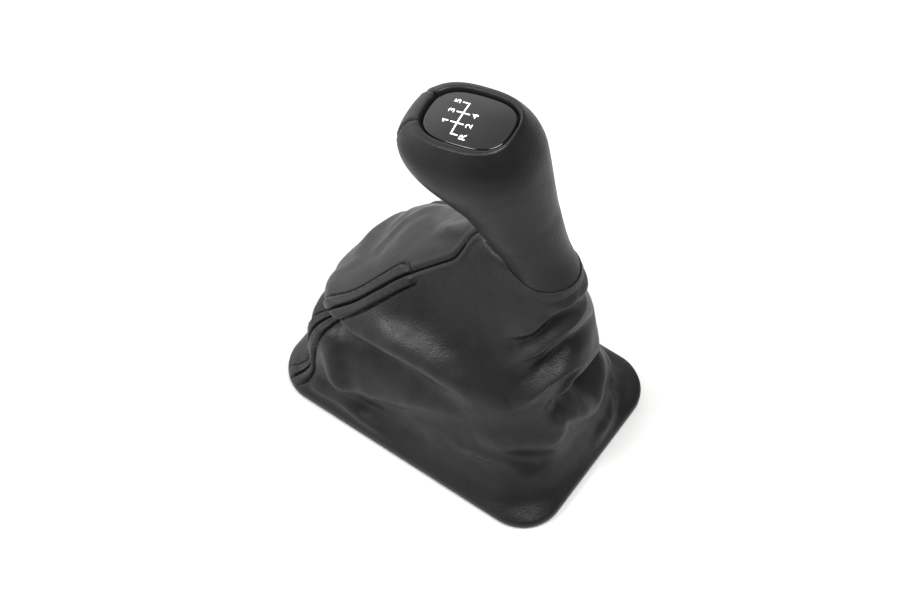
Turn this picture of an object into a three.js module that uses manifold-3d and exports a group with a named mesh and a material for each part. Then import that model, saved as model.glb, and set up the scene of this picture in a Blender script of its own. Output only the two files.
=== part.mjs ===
// Gear lever gaiter with its leather gear knob.
// Millimetres. +Z is up, +Y towards the front of the car, +X to its right.
// The origin is the centre of the base, on the surface that it stands on.

import * as THREE from 'three';
import { mergeVertices } from 'three/addons/utils/BufferGeometryUtils.js';
import Module from 'manifold-3d';

const wasm = await Module();
wasm.setup();

// Leather and the clearance between pieces that touch
const LEATHER = 1;
const CLEAR = 0.3;

// Base of the gaiter, over its leather
const BASE_LENGTH = 145;
const BASE_WIDTH = 100;
const BASE_CORNER = 19;
const BASE_WALL_TOP = 5;
const HEM_WIDTH = 8;
const HEM_HEIGHT = 0.9;
const HEM_BEND = 1.5;

// Plastic frame inside the base
const FRAME_WIDTH = 13;
const FRAME_TOP = 4.6;
const FRAME_RIM_THICK = 1.8;
const FRAME_RIM_TOP = 9;

// Staples through the hem, and spring clips on the frame's rim
const STAPLE_WIRE = 0.5;
const STAPLE_WIDTH = 8;
const STAPLE_TOP = 3.9;
const CLIP_THICK = 0.6;
const CLIP_WIDTH = 12;
const CLIP_BARB = 1.4;
const CLIP_FOOT = 1.2;

// Knob: where its cap sits, and how it leans
const KNOB_HEIGHT = 193.5;
const KNOB_FORWARD = -2.3;
const KNOB_TURN = 8;
const KNOB_NOD = 9;

// Cap in the top of the knob
const CAP_HALF_LENGTH = 17.7;
const CAP_HALF_WIDTH = 12.8;
const CAP_SQUARE = 2.8;
const CAP_CROWN = 1;
const CAP_THICK = 2.6;
const CAP_GAP = 0.4;
const CAP_EDGE = 0.5;
const PEG_RADIUS = 1.6;
const PEG_LENGTH = 5;
const PEG_SPACING = 20;

// Shift pattern printed on the cap
const PATTERN_FORWARD = 3.6;
const PATTERN_RIGHT = -0.7;
const GATE_PITCH = 5.1;
const GATE_REACH = 2.7;
const PRINT_LINE = 0.8;
const PRINT_THICK = 0.3;
const PRINT_SINK = 4;
const DIGIT_HEIGHT = 3.4;
const DIGIT_WIDTH = 2.2;
const DIGIT_LINE = 0.55;
const DIGIT_GAP = 0.9;

// Neck of the knob, round about the lever's axis
const NECK_TOP_DEPTH = 52;
const NECK_TOP_REAR = 14.8;
const NECK_LEAN = 0.293;
const NECK_RADIUS = 12.4;
const NECK_END = 84;
const COLLAR_RADIUS = 9.3;
const COLLAR_LENGTH = 9;

// Lever bush in the knob
const LEVER_DIAMETER = 12;
const BUSH_WALL = 1.3;
const BUSH_LENGTH = 34;

// Mouth of the gaiter round the neck, and the tie that holds it
const ROLL = 1.2;
const MOUTH_TILT = 6;
const HEM_STEP = 2;
const TIE_THICK = 1.1;
const TIE_WIDTH = 3.6;
const TIE_HEAD = 5;
const TIE_HEAD_PROUD = 0.5;

// Knob outline below the cap: depth under the cap's edge, reach to the front,
// the rear and the side, and how square the section is
const KNOB_SECTIONS = [
  { depth: -0.9, front: 21.6, rear: 19.8, side: 16.2, square: 2.7 },
  { depth: 1, front: 24, rear: 21, side: 17.6, square: 2.65 },
  { depth: 4, front: 26.6, rear: 22.6, side: 19.5, square: 2.6 },
  { depth: 9, front: 29, rear: 25, side: 21.8, square: 2.5 },
  { depth: 15, front: 28.5, rear: 27, side: 22.7, square: 2.4 },
  { depth: 22, front: 25, rear: 28, side: 21.9, square: 2.3 },
  { depth: 30, front: 18.5, rear: 28.8, side: 19.8, square: 2.2 },
  { depth: 40, front: 9.2, rear: 29.5, side: 17.4, square: 2.1 },
];
const NECK_TOP_RADIUS = 15.6;

// Rolled leather lip round the cap, and the sewn strip down the knob's front
const LIP_ROLL = 1.9;
const LIP_RISE = 1.2;
const LIP_START = 0.4;
const LIP_BEND = { out: 0.4, up: 0.7 };
const STRIP_TOP_TURN = 22;
const STRIP_NECK_TURN = 29;

// Gaiter sections above the base: how far each lies inside the base's edge,
// its height at the front and the rear, how far its middle stands to the right,
// and how round its front and rear corners are, from 0 (as the base) to 1 (an oval)
const SKIRT = [
  {
    side: 4.5, front: 6, rear: 4.5, frontHeight: 15, rearHeight: 13,
    right: 0, frontRound: 0, rearRound: 0.3,
  },
  {
    side: 9.5, front: 7.5, rear: 9.5, frontHeight: 35, rearHeight: 28,
    right: -0.5, frontRound: 0, rearRound: 0.4,
  },
  {
    side: 12.5, front: 13, rear: 12.5, frontHeight: 56, rearHeight: 45,
    right: 0, frontRound: 0.1, rearRound: 0.5,
  },
  {
    side: 15.5, front: 27, rear: 14, frontHeight: 73, rearHeight: 62,
    right: 0.5, frontRound: 0.2, rearRound: 0.5,
  },
];
const SKIRT_CORNER = 17;

// Gaiter sections near the mouth: how far each stands out from the mouth's edge,
// and how far it hangs below the mouth at the front and the rear
const SHOULDER = [
  { side: 12, front: 50, rear: 6.5, frontDrop: 27, rearDrop: 41, frontRound: 0.35, rearRound: 0.6 },
  { side: 5.5, front: 31, rear: 5.5, frontDrop: 6.5, rearDrop: 26, frontRound: 0.55, rearRound: 0.7 },
  { side: 1.5, front: 16.5, rear: 5.5, frontDrop: -9.5, rearDrop: 13.5, frontRound: 0.8, rearRound: 0.9 },
];
const SHOULDER_CORNER = 11;

// Seams of the gaiter: at the front corners, drifting to the front at the neck,
// each under a stitched flap that stops short of the neck
const SEAM_TURN = 45;
const SEAM_DRIFT = 23;
const SEAM_DRIFT_FROM = 6.3;
const FLAP_RISE = 0.8;
const FLAP_FROM = 0.3;
const FLAP_TO = 5.4;
const FLAP_TURNS = [1.2, 4.6, 6];
const CORNER_TURNS = [...FLAP_TURNS, 10.5, 15];
const STITCH_OFFSET = 3.4;
const STITCH_PITCH = 6.5;
const THREAD = 0.8;
const THREAD_DIP = 0.35;
const THREAD_SEAT = CLEAR + 0.8 * THREAD;
const STITCH_START = 0.3;
const STITCH_STOP = 0.1;

// Folds of the gaiter as paths of [turn, section], turn from the right side
// through the front, section counted up from the base; each is a ridge or,
// where its height is negative, a valley
const FOLDS = [
  { path: [[122, 3], [135, 3], [147, 3.12]], width: 6.5, height: -6.5 },
  { path: [[147, 3.12], [162, 3.3], [177, 3.35], [190, 3.5]], width: 7, height: -4 },
  { path: [[143, 3.55], [168, 3.9], [186, 3.95], [198, 3.8]], width: 7, height: 3 },
  { path: [[141, 2.3], [147, 1.8], [153, 1.3]], width: 6, height: 3 },
  { path: [[153, 1.4], [168, 1.95], [183, 2.4], [201, 2.9]], width: 8, height: 2.5 },
  { path: [[143, 0.8], [150, 0.9], [165, 0.8]], width: 5, height: 1.5 },
  { path: [[204, 5.9], [219, 6.5], [250, 7.1]], width: 4.5, height: 1.8 },
  { path: [[210, 5.2], [231, 6.1], [255, 6.4], [276, 6.6]], width: 4.5, height: 1.8 },
  { path: [[222, 5], [237, 5.8]], width: 5, height: -1.5 },
  { path: [[228, 4.3], [237, 4.75], [255, 4.95], [285, 4.6], [306, 3.9]], width: 5, height: 2.5 },
  { path: [[252, 4], [273, 3.1], [309, 2.9]], width: 7, height: -4 },
  { path: [[246, 2.4], [252, 3], [282, 2.2], [309, 2.1]], width: 6, height: 2.5 },
  { path: [[213, 2.6], [231, 2.7], [252, 2.1]], width: 7, height: 2 },
  { path: [[225, 2.1], [234, 2.05]], width: 6, height: -2 },
  { path: [[87, 4.1], [63, 4.5]], width: 7, height: 1.5 },
  { path: [[111, 4], [93, 4]], width: 7, height: 1.2 },
  { path: [[58, 3], [45, 3], [33, 3.12]], width: 6.5, height: -5 },
  { path: [[33, 3.12], [10, 3.3]], width: 8, height: -3 },
  { path: [[37, 3.6], [8, 4]], width: 8, height: 2.5 },
  { path: [[33, 1.6], [5, 2.1]], width: 9, height: 2 },
];

// Sections over which the folds fade in above the base and out below the mouth
const FOLD_FADE = 0.6;

// How far a cut runs past the face that it opens
const OVERRUN = 5;

// Mesh steps
const GAITER_STEPS = 18;
const COVER_STEPS = 24;
const STRIP_STEPS = 5;
const NECK_STEPS = 24;
const OUTLINE_STEPS = 5;
const KNOB_STEPS = 14;
const STITCH_SEARCH = 240;

const rad = THREE.MathUtils.degToRad;
const lerp = THREE.MathUtils.lerp;

// Values worked out from the sizes above
const MOUTH_RADIUS = NECK_RADIUS + CLEAR + 2 * ROLL;
const MOUTH_DEPTH = NECK_END - ROLL - MOUTH_TILT;
const NECK_AXIS = new THREE.Vector3(0, NECK_LEAN, 1).normalize();
const KNOB_PLACE = new THREE.Matrix4().makeRotationZ(rad(KNOB_TURN))
  .multiply(new THREE.Matrix4().makeRotationX(rad(-KNOB_NOD)))
  .setPosition(0, KNOB_FORWARD, KNOB_HEIGHT);
const TOP_SECTION = SKIRT.length + SHOULDER.length + 1;

// Solids and meshes

function solidFrom(geometry) {
  const bare = geometry.clone();
  bare.deleteAttribute('normal');
  bare.deleteAttribute('uv');
  const merged = mergeVertices(bare, 1e-4);
  return new wasm.Manifold(new wasm.Mesh({
    numProp: 3,
    vertProperties: new Float32Array(merged.attributes.position.array),
    triVerts: new Uint32Array(merged.index.array),
  }));
}

function geometryFrom(solid) {
  const mesh = solid.getMesh();
  const geometry = new THREE.BufferGeometry();
  geometry.setAttribute('position', new THREE.BufferAttribute(new Float32Array(mesh.vertProperties), 3));
  geometry.setIndex(new THREE.BufferAttribute(new Uint32Array(mesh.triVerts), 1));
  return geometry;
}

function geometryOf(points, faces) {
  const geometry = new THREE.BufferGeometry();
  const places = points.flatMap((point) => point.toArray());
  geometry.setAttribute('position', new THREE.Float32BufferAttribute(places, 3));
  geometry.setIndex(faces);
  return geometry;
}

function fuse(geometries) {
  return geometries.map(solidFrom).reduce((whole, piece) => whole.add(piece));
}

// Point on a smooth curve through a list of points, level counted in points
function splineAt(points, level) {
  const last = points.length - 1;
  const from = Math.min(Math.floor(level), last - 1);
  const start = points[from];
  const end = points[from + 1];
  const before = from > 0 ? points[from - 1] : start.clone().multiplyScalar(2).sub(end);
  const after = from + 2 <= last ? points[from + 2] : end.clone().multiplyScalar(2).sub(start);
  return new THREE.CatmullRomCurve3([before, start, end, after], false, 'catmullrom', 0.5)
    .getPoint((1 + level - from) / 3);
}

// Leather sheets: a grid of points on the outer face, thickened inwards

function normalsOf(grid, wraps) {
  const columns = grid[0].length;
  return grid.map((row, i) => row.map((point, j) => {
    const up = grid[Math.min(i + 1, grid.length - 1)][j].clone().sub(grid[Math.max(i - 1, 0)][j]);
    const next = wraps ? row[(j + 1) % columns] : row[Math.min(j + 1, columns - 1)];
    const previous = wraps ? row[(j + columns - 1) % columns] : row[Math.max(j - 1, 0)];
    return next.clone().sub(previous).cross(up).normalize();
  }));
}

function offsetGrid(grid, distance, wraps = false) {
  const normals = normalsOf(grid, wraps);
  const moved = (point, i, j) => point.clone().addScaledVector(normals[i][j], distance);
  return grid.map((row, i) => row.map((point, j) => moved(point, i, j)));
}

function sheetGeometry(outer, thickness) {
  const inner = offsetGrid(outer, -thickness);
  const rows = outer.length;
  const columns = outer[0].length;
  const inside = rows * columns;
  const at = (i, j, face) => face * inside + i * columns + j;
  const faces = [];
  const quad = (a, b, c, d) => faces.push(a, b, c, a, c, d);
  for (let i = 0; i < rows - 1; i += 1) {
    for (let j = 0; j < columns - 1; j += 1) {
      quad(at(i, j, 0), at(i, j + 1, 0), at(i + 1, j + 1, 0), at(i + 1, j, 0));
      quad(at(i, j, 1), at(i + 1, j, 1), at(i + 1, j + 1, 1), at(i, j + 1, 1));
    }
  }
  for (let i = 0; i < rows - 1; i += 1) {
    const end = columns - 1;
    quad(at(i, 0, 0), at(i + 1, 0, 0), at(i + 1, 0, 1), at(i, 0, 1));
    quad(at(i, end, 0), at(i, end, 1), at(i + 1, end, 1), at(i + 1, end, 0));
  }
  for (let j = 0; j < columns - 1; j += 1) {
    quad(at(0, j, 0), at(0, j, 1), at(0, j + 1, 1), at(0, j + 1, 0));
    quad(at(rows - 1, j, 0), at(rows - 1, j + 1, 0), at(rows - 1, j + 1, 1), at(rows - 1, j, 1));
  }
  return geometryOf([...outer.flat(), ...inner.flat()], faces);
}

// Draws the two sewn edges of a panel back from the seam
function openSeams(grid) {
  const pull = (edge, next) => edge.addScaledVector(next.clone().sub(edge).normalize(), CLEAR / 2);
  grid.forEach((row) => {
    pull(row[0], row[1]);
    pull(row[row.length - 1], row[row.length - 2]);
  });
  return grid;
}

// Solid through closed rings of points, with flat ends
function ringSolid(rings) {
  const columns = rings[0].length;
  const faces = [];
  for (let i = 0; i < rings.length - 1; i += 1) {
    for (let j = 0; j < columns; j += 1) {
      const a = i * columns + j;
      const b = i * columns + (j + 1) % columns;
      faces.push(a, b, b + columns, a, b + columns, a + columns);
    }
  }
  const centre = (ring) => ring.reduce((sum, p) => sum.add(p), new THREE.Vector3()).divideScalar(columns);
  const bottom = rings.length * columns;
  const top = bottom + 1;
  const lastRing = (rings.length - 1) * columns;
  for (let j = 0; j < columns; j += 1) {
    const next = (j + 1) % columns;
    faces.push(bottom, next, j);
    faces.push(top, lastRing + j, lastRing + next);
  }
  return geometryOf([...rings.flat(), centre(rings[0]), centre(rings[rings.length - 1])], faces);
}

function turnsBetween(from, to, steps) {
  return Array.from({ length: steps + 1 }, (_, i) => lerp(from, to, i / steps));
}

// Base outline: a rectangle with round corners, each corner's middle at 45 degrees
// of turn, so that the seams and folds keep their place as it narrows

function rectanglePoint(turn, halfLength, halfWidth, corner) {
  const whole = ((turn % 360) + 360) % 360;
  const quarter = Math.floor(whole / 90);
  const inQuarter = quarter % 2 === 0 ? whole - quarter * 90 : (quarter + 1) * 90 - whole;
  const mirrorX = quarter === 1 || quarter === 2 ? -1 : 1;
  const mirrorY = quarter >= 2 ? -1 : 1;
  const halfArc = corner * Math.PI / 4;
  let x = halfWidth;
  let y = halfLength;
  if (inQuarter <= 45) {
    const along = (inQuarter / 45) * (halfLength - corner + halfArc);
    const angle = Math.max(0, (along - (halfLength - corner)) / corner);
    x = halfWidth - corner + corner * Math.cos(angle);
    y = Math.min(along, halfLength - corner) + corner * Math.sin(angle);
  } else {
    const along = ((90 - inQuarter) / 45) * (halfWidth - corner + halfArc);
    const angle = Math.max(0, (along - (halfWidth - corner)) / corner);
    x = Math.min(along, halfWidth - corner) + corner * Math.sin(angle);
    y = halfLength - corner + corner * Math.cos(angle);
  }
  return new THREE.Vector3(mirrorX * x, mirrorY * y, 0);
}

function basePoint(turn, inset, height) {
  const point = rectanglePoint(turn, BASE_LENGTH / 2 - inset, BASE_WIDTH / 2 - inset, BASE_CORNER - inset);
  return point.setZ(height);
}

function sectionPoint(turn, section) {
  const halfLength = (section.front + section.rear) / 2;
  const square = rectanglePoint(turn, halfLength, section.side, section.corner);
  const oval = new THREE.Vector3(section.side * Math.cos(rad(turn)), halfLength * Math.sin(rad(turn)), 0);
  const forward = THREE.MathUtils.smoothstep(Math.sin(rad(turn)), -1, 1);
  const point = square.lerp(oval, lerp(section.rearRound, section.frontRound, forward));
  const alongside = (point.y / halfLength + 1) / 2;
  point.z = lerp(section.rearHeight, section.frontHeight, alongside);
  point.x += section.right;
  point.y += (section.front - section.rear) / 2 + section.forward;
  return point;
}

// Round sections about the lever's axis, in the knob's own frame and in the part's

function neckCentre(depth) {
  return new THREE.Vector3(0, -NECK_TOP_REAR - NECK_LEAN * (depth - NECK_TOP_DEPTH), -depth);
}

function neckPoint(turn, depth, radius) {
  const across = new THREE.Vector3(1, 0, 0);
  const ahead = new THREE.Vector3().crossVectors(NECK_AXIS, across);
  return neckCentre(depth)
    .addScaledVector(across, radius * Math.cos(rad(turn)))
    .addScaledVector(ahead, radius * Math.sin(rad(turn)));
}

function mouthPoint(turn, sink, radius) {
  const depth = MOUTH_DEPTH - MOUTH_TILT * Math.sin(rad(turn)) + sink;
  return neckPoint(turn, depth, radius).applyMatrix4(KNOB_PLACE);
}

// Outer face of the gaiter

const MOUTH_CENTRE = neckCentre(MOUTH_DEPTH + ROLL).applyMatrix4(KNOB_PLACE);

const GAITER_SECTIONS = [
  ...SKIRT.map((section) => ({
    ...section,
    side: BASE_WIDTH / 2 - section.side,
    front: BASE_LENGTH / 2 - section.front,
    rear: BASE_LENGTH / 2 - section.rear,
    forward: 0,
    corner: SKIRT_CORNER,
  })),
  ...SHOULDER.map((section) => ({
    ...section,
    side: MOUTH_RADIUS + section.side,
    front: MOUTH_RADIUS + section.front,
    rear: MOUTH_RADIUS + section.rear,
    frontHeight: MOUTH_CENTRE.z - section.frontDrop,
    rearHeight: MOUTH_CENTRE.z - section.rearDrop,
    right: MOUTH_CENTRE.x,
    forward: MOUTH_CENTRE.y,
    corner: SHOULDER_CORNER,
  })),
];

function seamTurn(level) {
  return SEAM_TURN + SEAM_DRIFT * THREE.MathUtils.smoothstep(level, SEAM_DRIFT_FROM, TOP_SECTION);
}

function smoothPoint(turn, level) {
  const rings = [
    basePoint(turn, 0, BASE_WALL_TOP),
    ...GAITER_SECTIONS.map((section) => sectionPoint(turn, section)),
    mouthPoint(turn, ROLL, MOUTH_RADIUS),
  ];
  return splineAt(rings, level);
}

const FOLD_LINES = FOLDS.map((fold) => ({
  ...fold,
  points: fold.path.map(([turn, level]) => smoothPoint(turn, level)),
}));

function distanceToPath(point, path) {
  const nearest = new THREE.Vector3();
  const distances = path.slice(1).map((end, i) => {
    new THREE.Line3(path[i], end).closestPointToPoint(point, true, nearest);
    return nearest.distanceTo(point);
  });
  return Math.min(...distances);
}

function foldRise(point) {
  return FOLD_LINES.reduce((rise, fold) => {
    const share = distanceToPath(point, fold.points) / fold.width;
    return rise + fold.height * Math.exp(-share * share);
  }, 0);
}

// The flap is a low step along each side of the seam
function flapRise(turn, level) {
  if (level < FLAP_FROM || level > FLAP_TO) return 0;
  const fromSeam = Math.abs(Math.abs(90 - (((turn % 360) + 360) % 360)) - (90 - seamTurn(level)));
  const [inner, outer, foot] = FLAP_TURNS;
  if (fromSeam < inner) return FLAP_RISE * fromSeam / inner;
  return FLAP_RISE * (1 - THREE.MathUtils.smoothstep(fromSeam, outer, foot));
}

function outwardAt(turn, level) {
  const around = smoothPoint(turn + 1, level).sub(smoothPoint(turn - 1, level));
  const low = Math.max(level - 0.1, 0);
  const high = Math.min(level + 0.1, TOP_SECTION);
  return around.cross(smoothPoint(turn, high).sub(smoothPoint(turn, low))).normalize();
}

function gaiterPoint(turn, level) {
  const point = smoothPoint(turn, level);
  const fade = Math.min(1, level / FOLD_FADE, (TOP_SECTION - level) / FOLD_FADE);
  const rise = fade * foldRise(point) + flapRise(turn, level);
  return point.addScaledVector(outwardAt(turn, level), rise);
}

// Rows of the sheet: turned hem under the base, the wall, the rolled mouth,
// and the hem that runs down the neck to the tie

const FACE_RADIUS = NECK_RADIUS + CLEAR;
const TIED_RADIUS = COLLAR_RADIUS + CLEAR;
const STEP_DEPTH = NECK_END + CLEAR * 2;
const HEM_END = NECK_END + COLLAR_LENGTH - HEM_STEP / 2;

function bendRows(steps) {
  return turnsBetween(0, 90, steps).map((angle) => (turn) => basePoint(
    turn,
    HEM_BEND * (1 - Math.sin(rad(angle))),
    HEM_HEIGHT + HEM_BEND * (1 - Math.cos(rad(angle))),
  ));
}

function rollRows(steps) {
  return turnsBetween(0, 180, steps).slice(1).map((angle) => (turn) => mouthPoint(
    turn,
    ROLL * (1 - Math.sin(rad(angle))),
    FACE_RADIUS + ROLL * (1 + Math.cos(rad(angle))),
  ));
}

const neckRow = (depth, radius) => (turn) => neckPoint(turn, depth, radius).applyMatrix4(KNOB_PLACE);

function gaiterRows() {
  const levels = turnsBetween(0, TOP_SECTION, GAITER_STEPS);
  return [
    (turn) => basePoint(turn, HEM_WIDTH, HEM_HEIGHT),
    ...bendRows(2),
    ...levels.map((level) => (turn) => gaiterPoint(turn, level)),
    ...rollRows(3),
    neckRow(STEP_DEPTH, FACE_RADIUS),
    neckRow(STEP_DEPTH + HEM_STEP, TIED_RADIUS),
    neckRow(HEM_END, TIED_RADIUS),
  ];
}

// Level of each row, for the seam that the panel's edge follows
function rowLevels(rows) {
  const firstLevel = 4;
  const perRow = TOP_SECTION / GAITER_STEPS;
  return rows.map((_, i) => THREE.MathUtils.clamp((i - firstLevel) * perRow, 0, TOP_SECTION));
}

// Columns of a panel: close together at the flaps and the corners of the base
function panelTurns(from, to, stretches) {
  const near = CORNER_TURNS.map((turn) => from + turn);
  const far = CORNER_TURNS.map((turn) => to - turn).reverse();
  const ends = [near[near.length - 1], ...stretches.slice(0, -1).map(({ until }) => until), far[0]];
  const middle = stretches.flatMap(({ steps }, i) => turnsBetween(ends[i], ends[i + 1], steps).slice(1));
  return [from, ...near, ...middle, ...far.slice(1), to];
}

const FRONT_STRETCHES = [{ steps: 6 }];
const WRAP_STRETCHES = [
  { until: 210, steps: 8 },
  { until: 242, steps: 7 },
  { until: 298, steps: 5 },
  { until: 330, steps: 7 },
  { steps: 8 },
];

function gaiterPanel(fromOf, toOf, stretches) {
  const rows = gaiterRows();
  const levels = rowLevels(rows);
  const grid = rows.map((row, i) => panelTurns(fromOf(levels[i]), toOf(levels[i]), stretches).map(row));
  return sheetGeometry(openSeams(grid), LEATHER);
}

// Topstitching beside a seam

// Places of one row of stitches beside a seam, with the direction along it and out of the leather
function stitchRow(side, offset) {
  const turnAt = (level) => {
    const seam = side > 0 ? seamTurn(level) : 180 - seamTurn(level);
    const perTurn = smoothPoint(seam + 1, level).distanceTo(smoothPoint(seam - 1, level)) / 2;
    return seam + offset / perTurn;
  };
  const start = FLAP_FROM + STITCH_START;
  const end = FLAP_TO - STITCH_STOP;
  const fine = turnsBetween(start, end, STITCH_SEARCH);
  const walked = [0];
  const points = fine.map((level) => gaiterPoint(turnAt(level), level));
  points.slice(1).forEach((point, i) => walked.push(walked[i] + point.distanceTo(points[i])));
  const halfStitches = 2 * Math.floor(walked[walked.length - 1] / STITCH_PITCH);
  return turnsBetween(0, walked[walked.length - 1], halfStitches).map((distance) => {
    const i = Math.min(walked.findIndex((length) => length >= distance), fine.length - 2);
    const along = points[i + 1].clone().sub(points[Math.max(i - 1, 0)]).normalize();
    return { point: points[i], along, outward: outwardAt(turnAt(fine[i]), fine[i]) };
  });
}

// Nearest place on a panel's own face, looking straight into the leather
function onPanel(panel, point, outward) {
  const start = point.clone().addScaledVector(outward, LEATHER * 4);
  const hits = new THREE.Raycaster(start, outward.clone().negate()).intersectObject(new THREE.Mesh(panel));
  return hits.length > 0 ? hits[0].point : point;
}

// One row of stitches as a thread that swells at each stitch and dips between two
function topstitching(panel, side, offset) {
  const rings = stitchRow(side, offset).map(({ point, along, outward }, i) => {
    const half = (i % 2 === 0 ? THREAD_DIP : THREAD) / 2;
    const across = new THREE.Vector3().crossVectors(outward, along).normalize();
    const up = new THREE.Vector3().crossVectors(along, across);
    const middle = onPanel(panel, point, outward).addScaledVector(up, THREAD_SEAT);
    return [[-1, -1], [1, -1], [1, 1], [-1, 1]].map(([x, z]) => middle.clone()
      .addScaledVector(across, x * half).addScaledVector(up, z * half));
  });
  return ringSolid(rings);
}

// Frame in the base

function outlineShape(inset) {
  const corner = BASE_CORNER - inset;
  const points = [];
  for (let quarter = 0; quarter < 4; quarter += 1) {
    const x = (BASE_WIDTH / 2 - BASE_CORNER) * (quarter === 0 || quarter === 3 ? 1 : -1);
    const y = (BASE_LENGTH / 2 - BASE_CORNER) * (quarter < 2 ? 1 : -1);
    turnsBetween(quarter * 90, quarter * 90 + 90, OUTLINE_STEPS).forEach((angle) => {
      points.push(new THREE.Vector2(x + corner * Math.cos(rad(angle)), y + corner * Math.sin(rad(angle))));
    });
  }
  return new THREE.Shape(points);
}

function frameRing(outerInset, innerInset, bottom, top) {
  const shape = outlineShape(outerInset);
  shape.holes.push(outlineShape(innerInset));
  const ring = new THREE.ExtrudeGeometry(shape, { depth: top - bottom, bevelEnabled: false });
  return ring.translate(0, 0, bottom);
}

// Places round the base, each with the direction that points inwards there
function basePlaces(sideShares, endShares) {
  const halfSide = BASE_LENGTH / 2 - BASE_CORNER;
  const halfEnd = BASE_WIDTH / 2 - BASE_CORNER;
  const onSide = (sign, share) => ({ x: sign * BASE_WIDTH / 2, y: share * halfSide });
  const onEnd = (sign, share) => ({ x: share * halfEnd, y: sign * BASE_LENGTH / 2 });
  const places = [];
  [1, -1].forEach((sign) => {
    sideShares.forEach((share) => places.push({ ...onSide(sign, share), turn: sign > 0 ? 180 : 0 }));
    endShares.forEach((share) => places.push({ ...onEnd(sign, share), turn: sign > 0 ? 270 : 90 }));
  });
  return places;
}

// A piece drawn with +X inwards from the base's edge, set at one of those places
function setAt(geometry, place) {
  return geometry.clone().rotateZ(rad(place.turn)).translate(place.x, place.y, 0);
}

function box(fromX, toX, width, fromZ, toZ, y = 0) {
  return new THREE.BoxGeometry(toX - fromX, width, toZ - fromZ)
    .translate((fromX + toX) / 2, y, (fromZ + toZ) / 2);
}

const STAPLE_PLACES = basePlaces([-0.8, 0, 0.8], [-0.6, 0.6]);
const CLIP_PLACES = basePlaces([-0.5, 0.5], []);

function stapleParts(grow) {
  const inset = HEM_WIDTH / 2;
  const half = STAPLE_WIRE / 2 + grow;
  const crownBottom = HEM_HEIGHT - CLEAR - STAPLE_WIRE;
  const leg = (y) => box(inset - half, inset + half, 2 * half, crownBottom, STAPLE_TOP + grow, y);
  const reach = STAPLE_WIDTH / 2 - STAPLE_WIRE / 2;
  const crown = box(inset - half, inset + half, STAPLE_WIDTH, crownBottom, crownBottom + STAPLE_WIRE);
  return { legs: [leg(reach), leg(-reach)], crown };
}

function staple(place) {
  const { legs, crown } = stapleParts(0);
  return geometryFrom(fuse([...legs, crown].map((part) => setAt(part, place))));
}

const STAPLE_HOLES = fuse(STAPLE_PLACES.flatMap(
  (place) => stapleParts(CLEAR).legs.map((leg) => setAt(leg, place)),
));

function baseFrame() {
  const outer = LEATHER + 2 * CLEAR;
  const hemTop = HEM_HEIGHT + LEATHER + CLEAR;
  const body = solidFrom(frameRing(outer, FRAME_WIDTH, hemTop, FRAME_TOP));
  const foot = solidFrom(frameRing(HEM_WIDTH + 3 * CLEAR, FRAME_WIDTH, 0, hemTop));
  const rim = solidFrom(frameRing(FRAME_WIDTH - FRAME_RIM_THICK, FRAME_WIDTH, FRAME_TOP, FRAME_RIM_TOP));
  return geometryFrom(body.add(foot).add(rim).subtract(STAPLE_HOLES));
}

// Spring clip: a strip folded over the frame's rim, with a barb that bows inwards
function frameClip(place) {
  const rimInner = FRAME_WIDTH;
  const rimOuter = FRAME_WIDTH - FRAME_RIM_THICK;
  const top = FRAME_RIM_TOP + CLEAR;
  const profile = new THREE.Shape([
    [rimOuter - CLEAR, FRAME_TOP + CLEAR],
    [rimOuter - CLEAR, top],
    [rimInner + CLEAR, top],
    [rimInner + CLEAR, CLIP_FOOT],
    [rimInner + CLEAR + CLIP_THICK, CLIP_FOOT],
    [rimInner + CLEAR + CLIP_THICK + CLIP_BARB, (CLIP_FOOT + top) / 2],
    [rimInner + CLEAR + CLIP_THICK, top + CLIP_THICK],
    [rimOuter - CLEAR - CLIP_THICK, top + CLIP_THICK],
    [rimOuter - CLEAR - CLIP_THICK, FRAME_TOP + CLEAR],
  ].map(([x, z]) => new THREE.Vector2(x, z)));
  const strip = new THREE.ExtrudeGeometry(profile, { depth: CLIP_WIDTH, bevelEnabled: false })
    .translate(0, 0, -CLIP_WIDTH / 2).rotateX(rad(90));
  return setAt(strip, place);
}

// Knob, drawn in its own frame: its cap's edge at height 0, front along +Y

const NECK_SECTIONS = [
  { depth: NECK_TOP_DEPTH, radius: NECK_TOP_RADIUS },
  { depth: MOUTH_DEPTH - MOUTH_TILT - ROLL, radius: NECK_RADIUS },
  { depth: NECK_END, radius: NECK_RADIUS },
];

function ovalPoint(turn, section) {
  const cos = Math.cos(rad(turn));
  const sin = Math.sin(rad(turn));
  const power = 2 / section.square;
  const reach = (section.front + section.rear) / 2;
  const middle = (section.front - section.rear) / 2;
  return new THREE.Vector3(
    section.side * Math.sign(cos) * Math.abs(cos) ** power,
    middle + reach * Math.sign(sin) * Math.abs(sin) ** power,
    -section.depth,
  );
}

function capRing(grow, depth) {
  const halfLength = CAP_HALF_LENGTH + grow;
  return { depth, front: halfLength, rear: halfLength, side: CAP_HALF_WIDTH + grow, square: CAP_SQUARE };
}

// Half width of the front strip, in degrees of turn, at a place along the knob
function stripTurn(level) {
  return lerp(STRIP_TOP_TURN, STRIP_NECK_TURN, level / (KNOB_SECTIONS.length + NECK_SECTIONS.length - 1));
}

function knobPoint(turn, level) {
  const rings = [
    ...KNOB_SECTIONS.map((section) => ovalPoint(turn, section)),
    ...NECK_SECTIONS.map((section) => neckPoint(turn, section.depth, section.radius)),
  ];
  return splineAt(rings, level);
}

const KNOB_LEVELS = turnsBetween(0, KNOB_SECTIONS.length + NECK_SECTIONS.length - 1, KNOB_STEPS);

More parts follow.
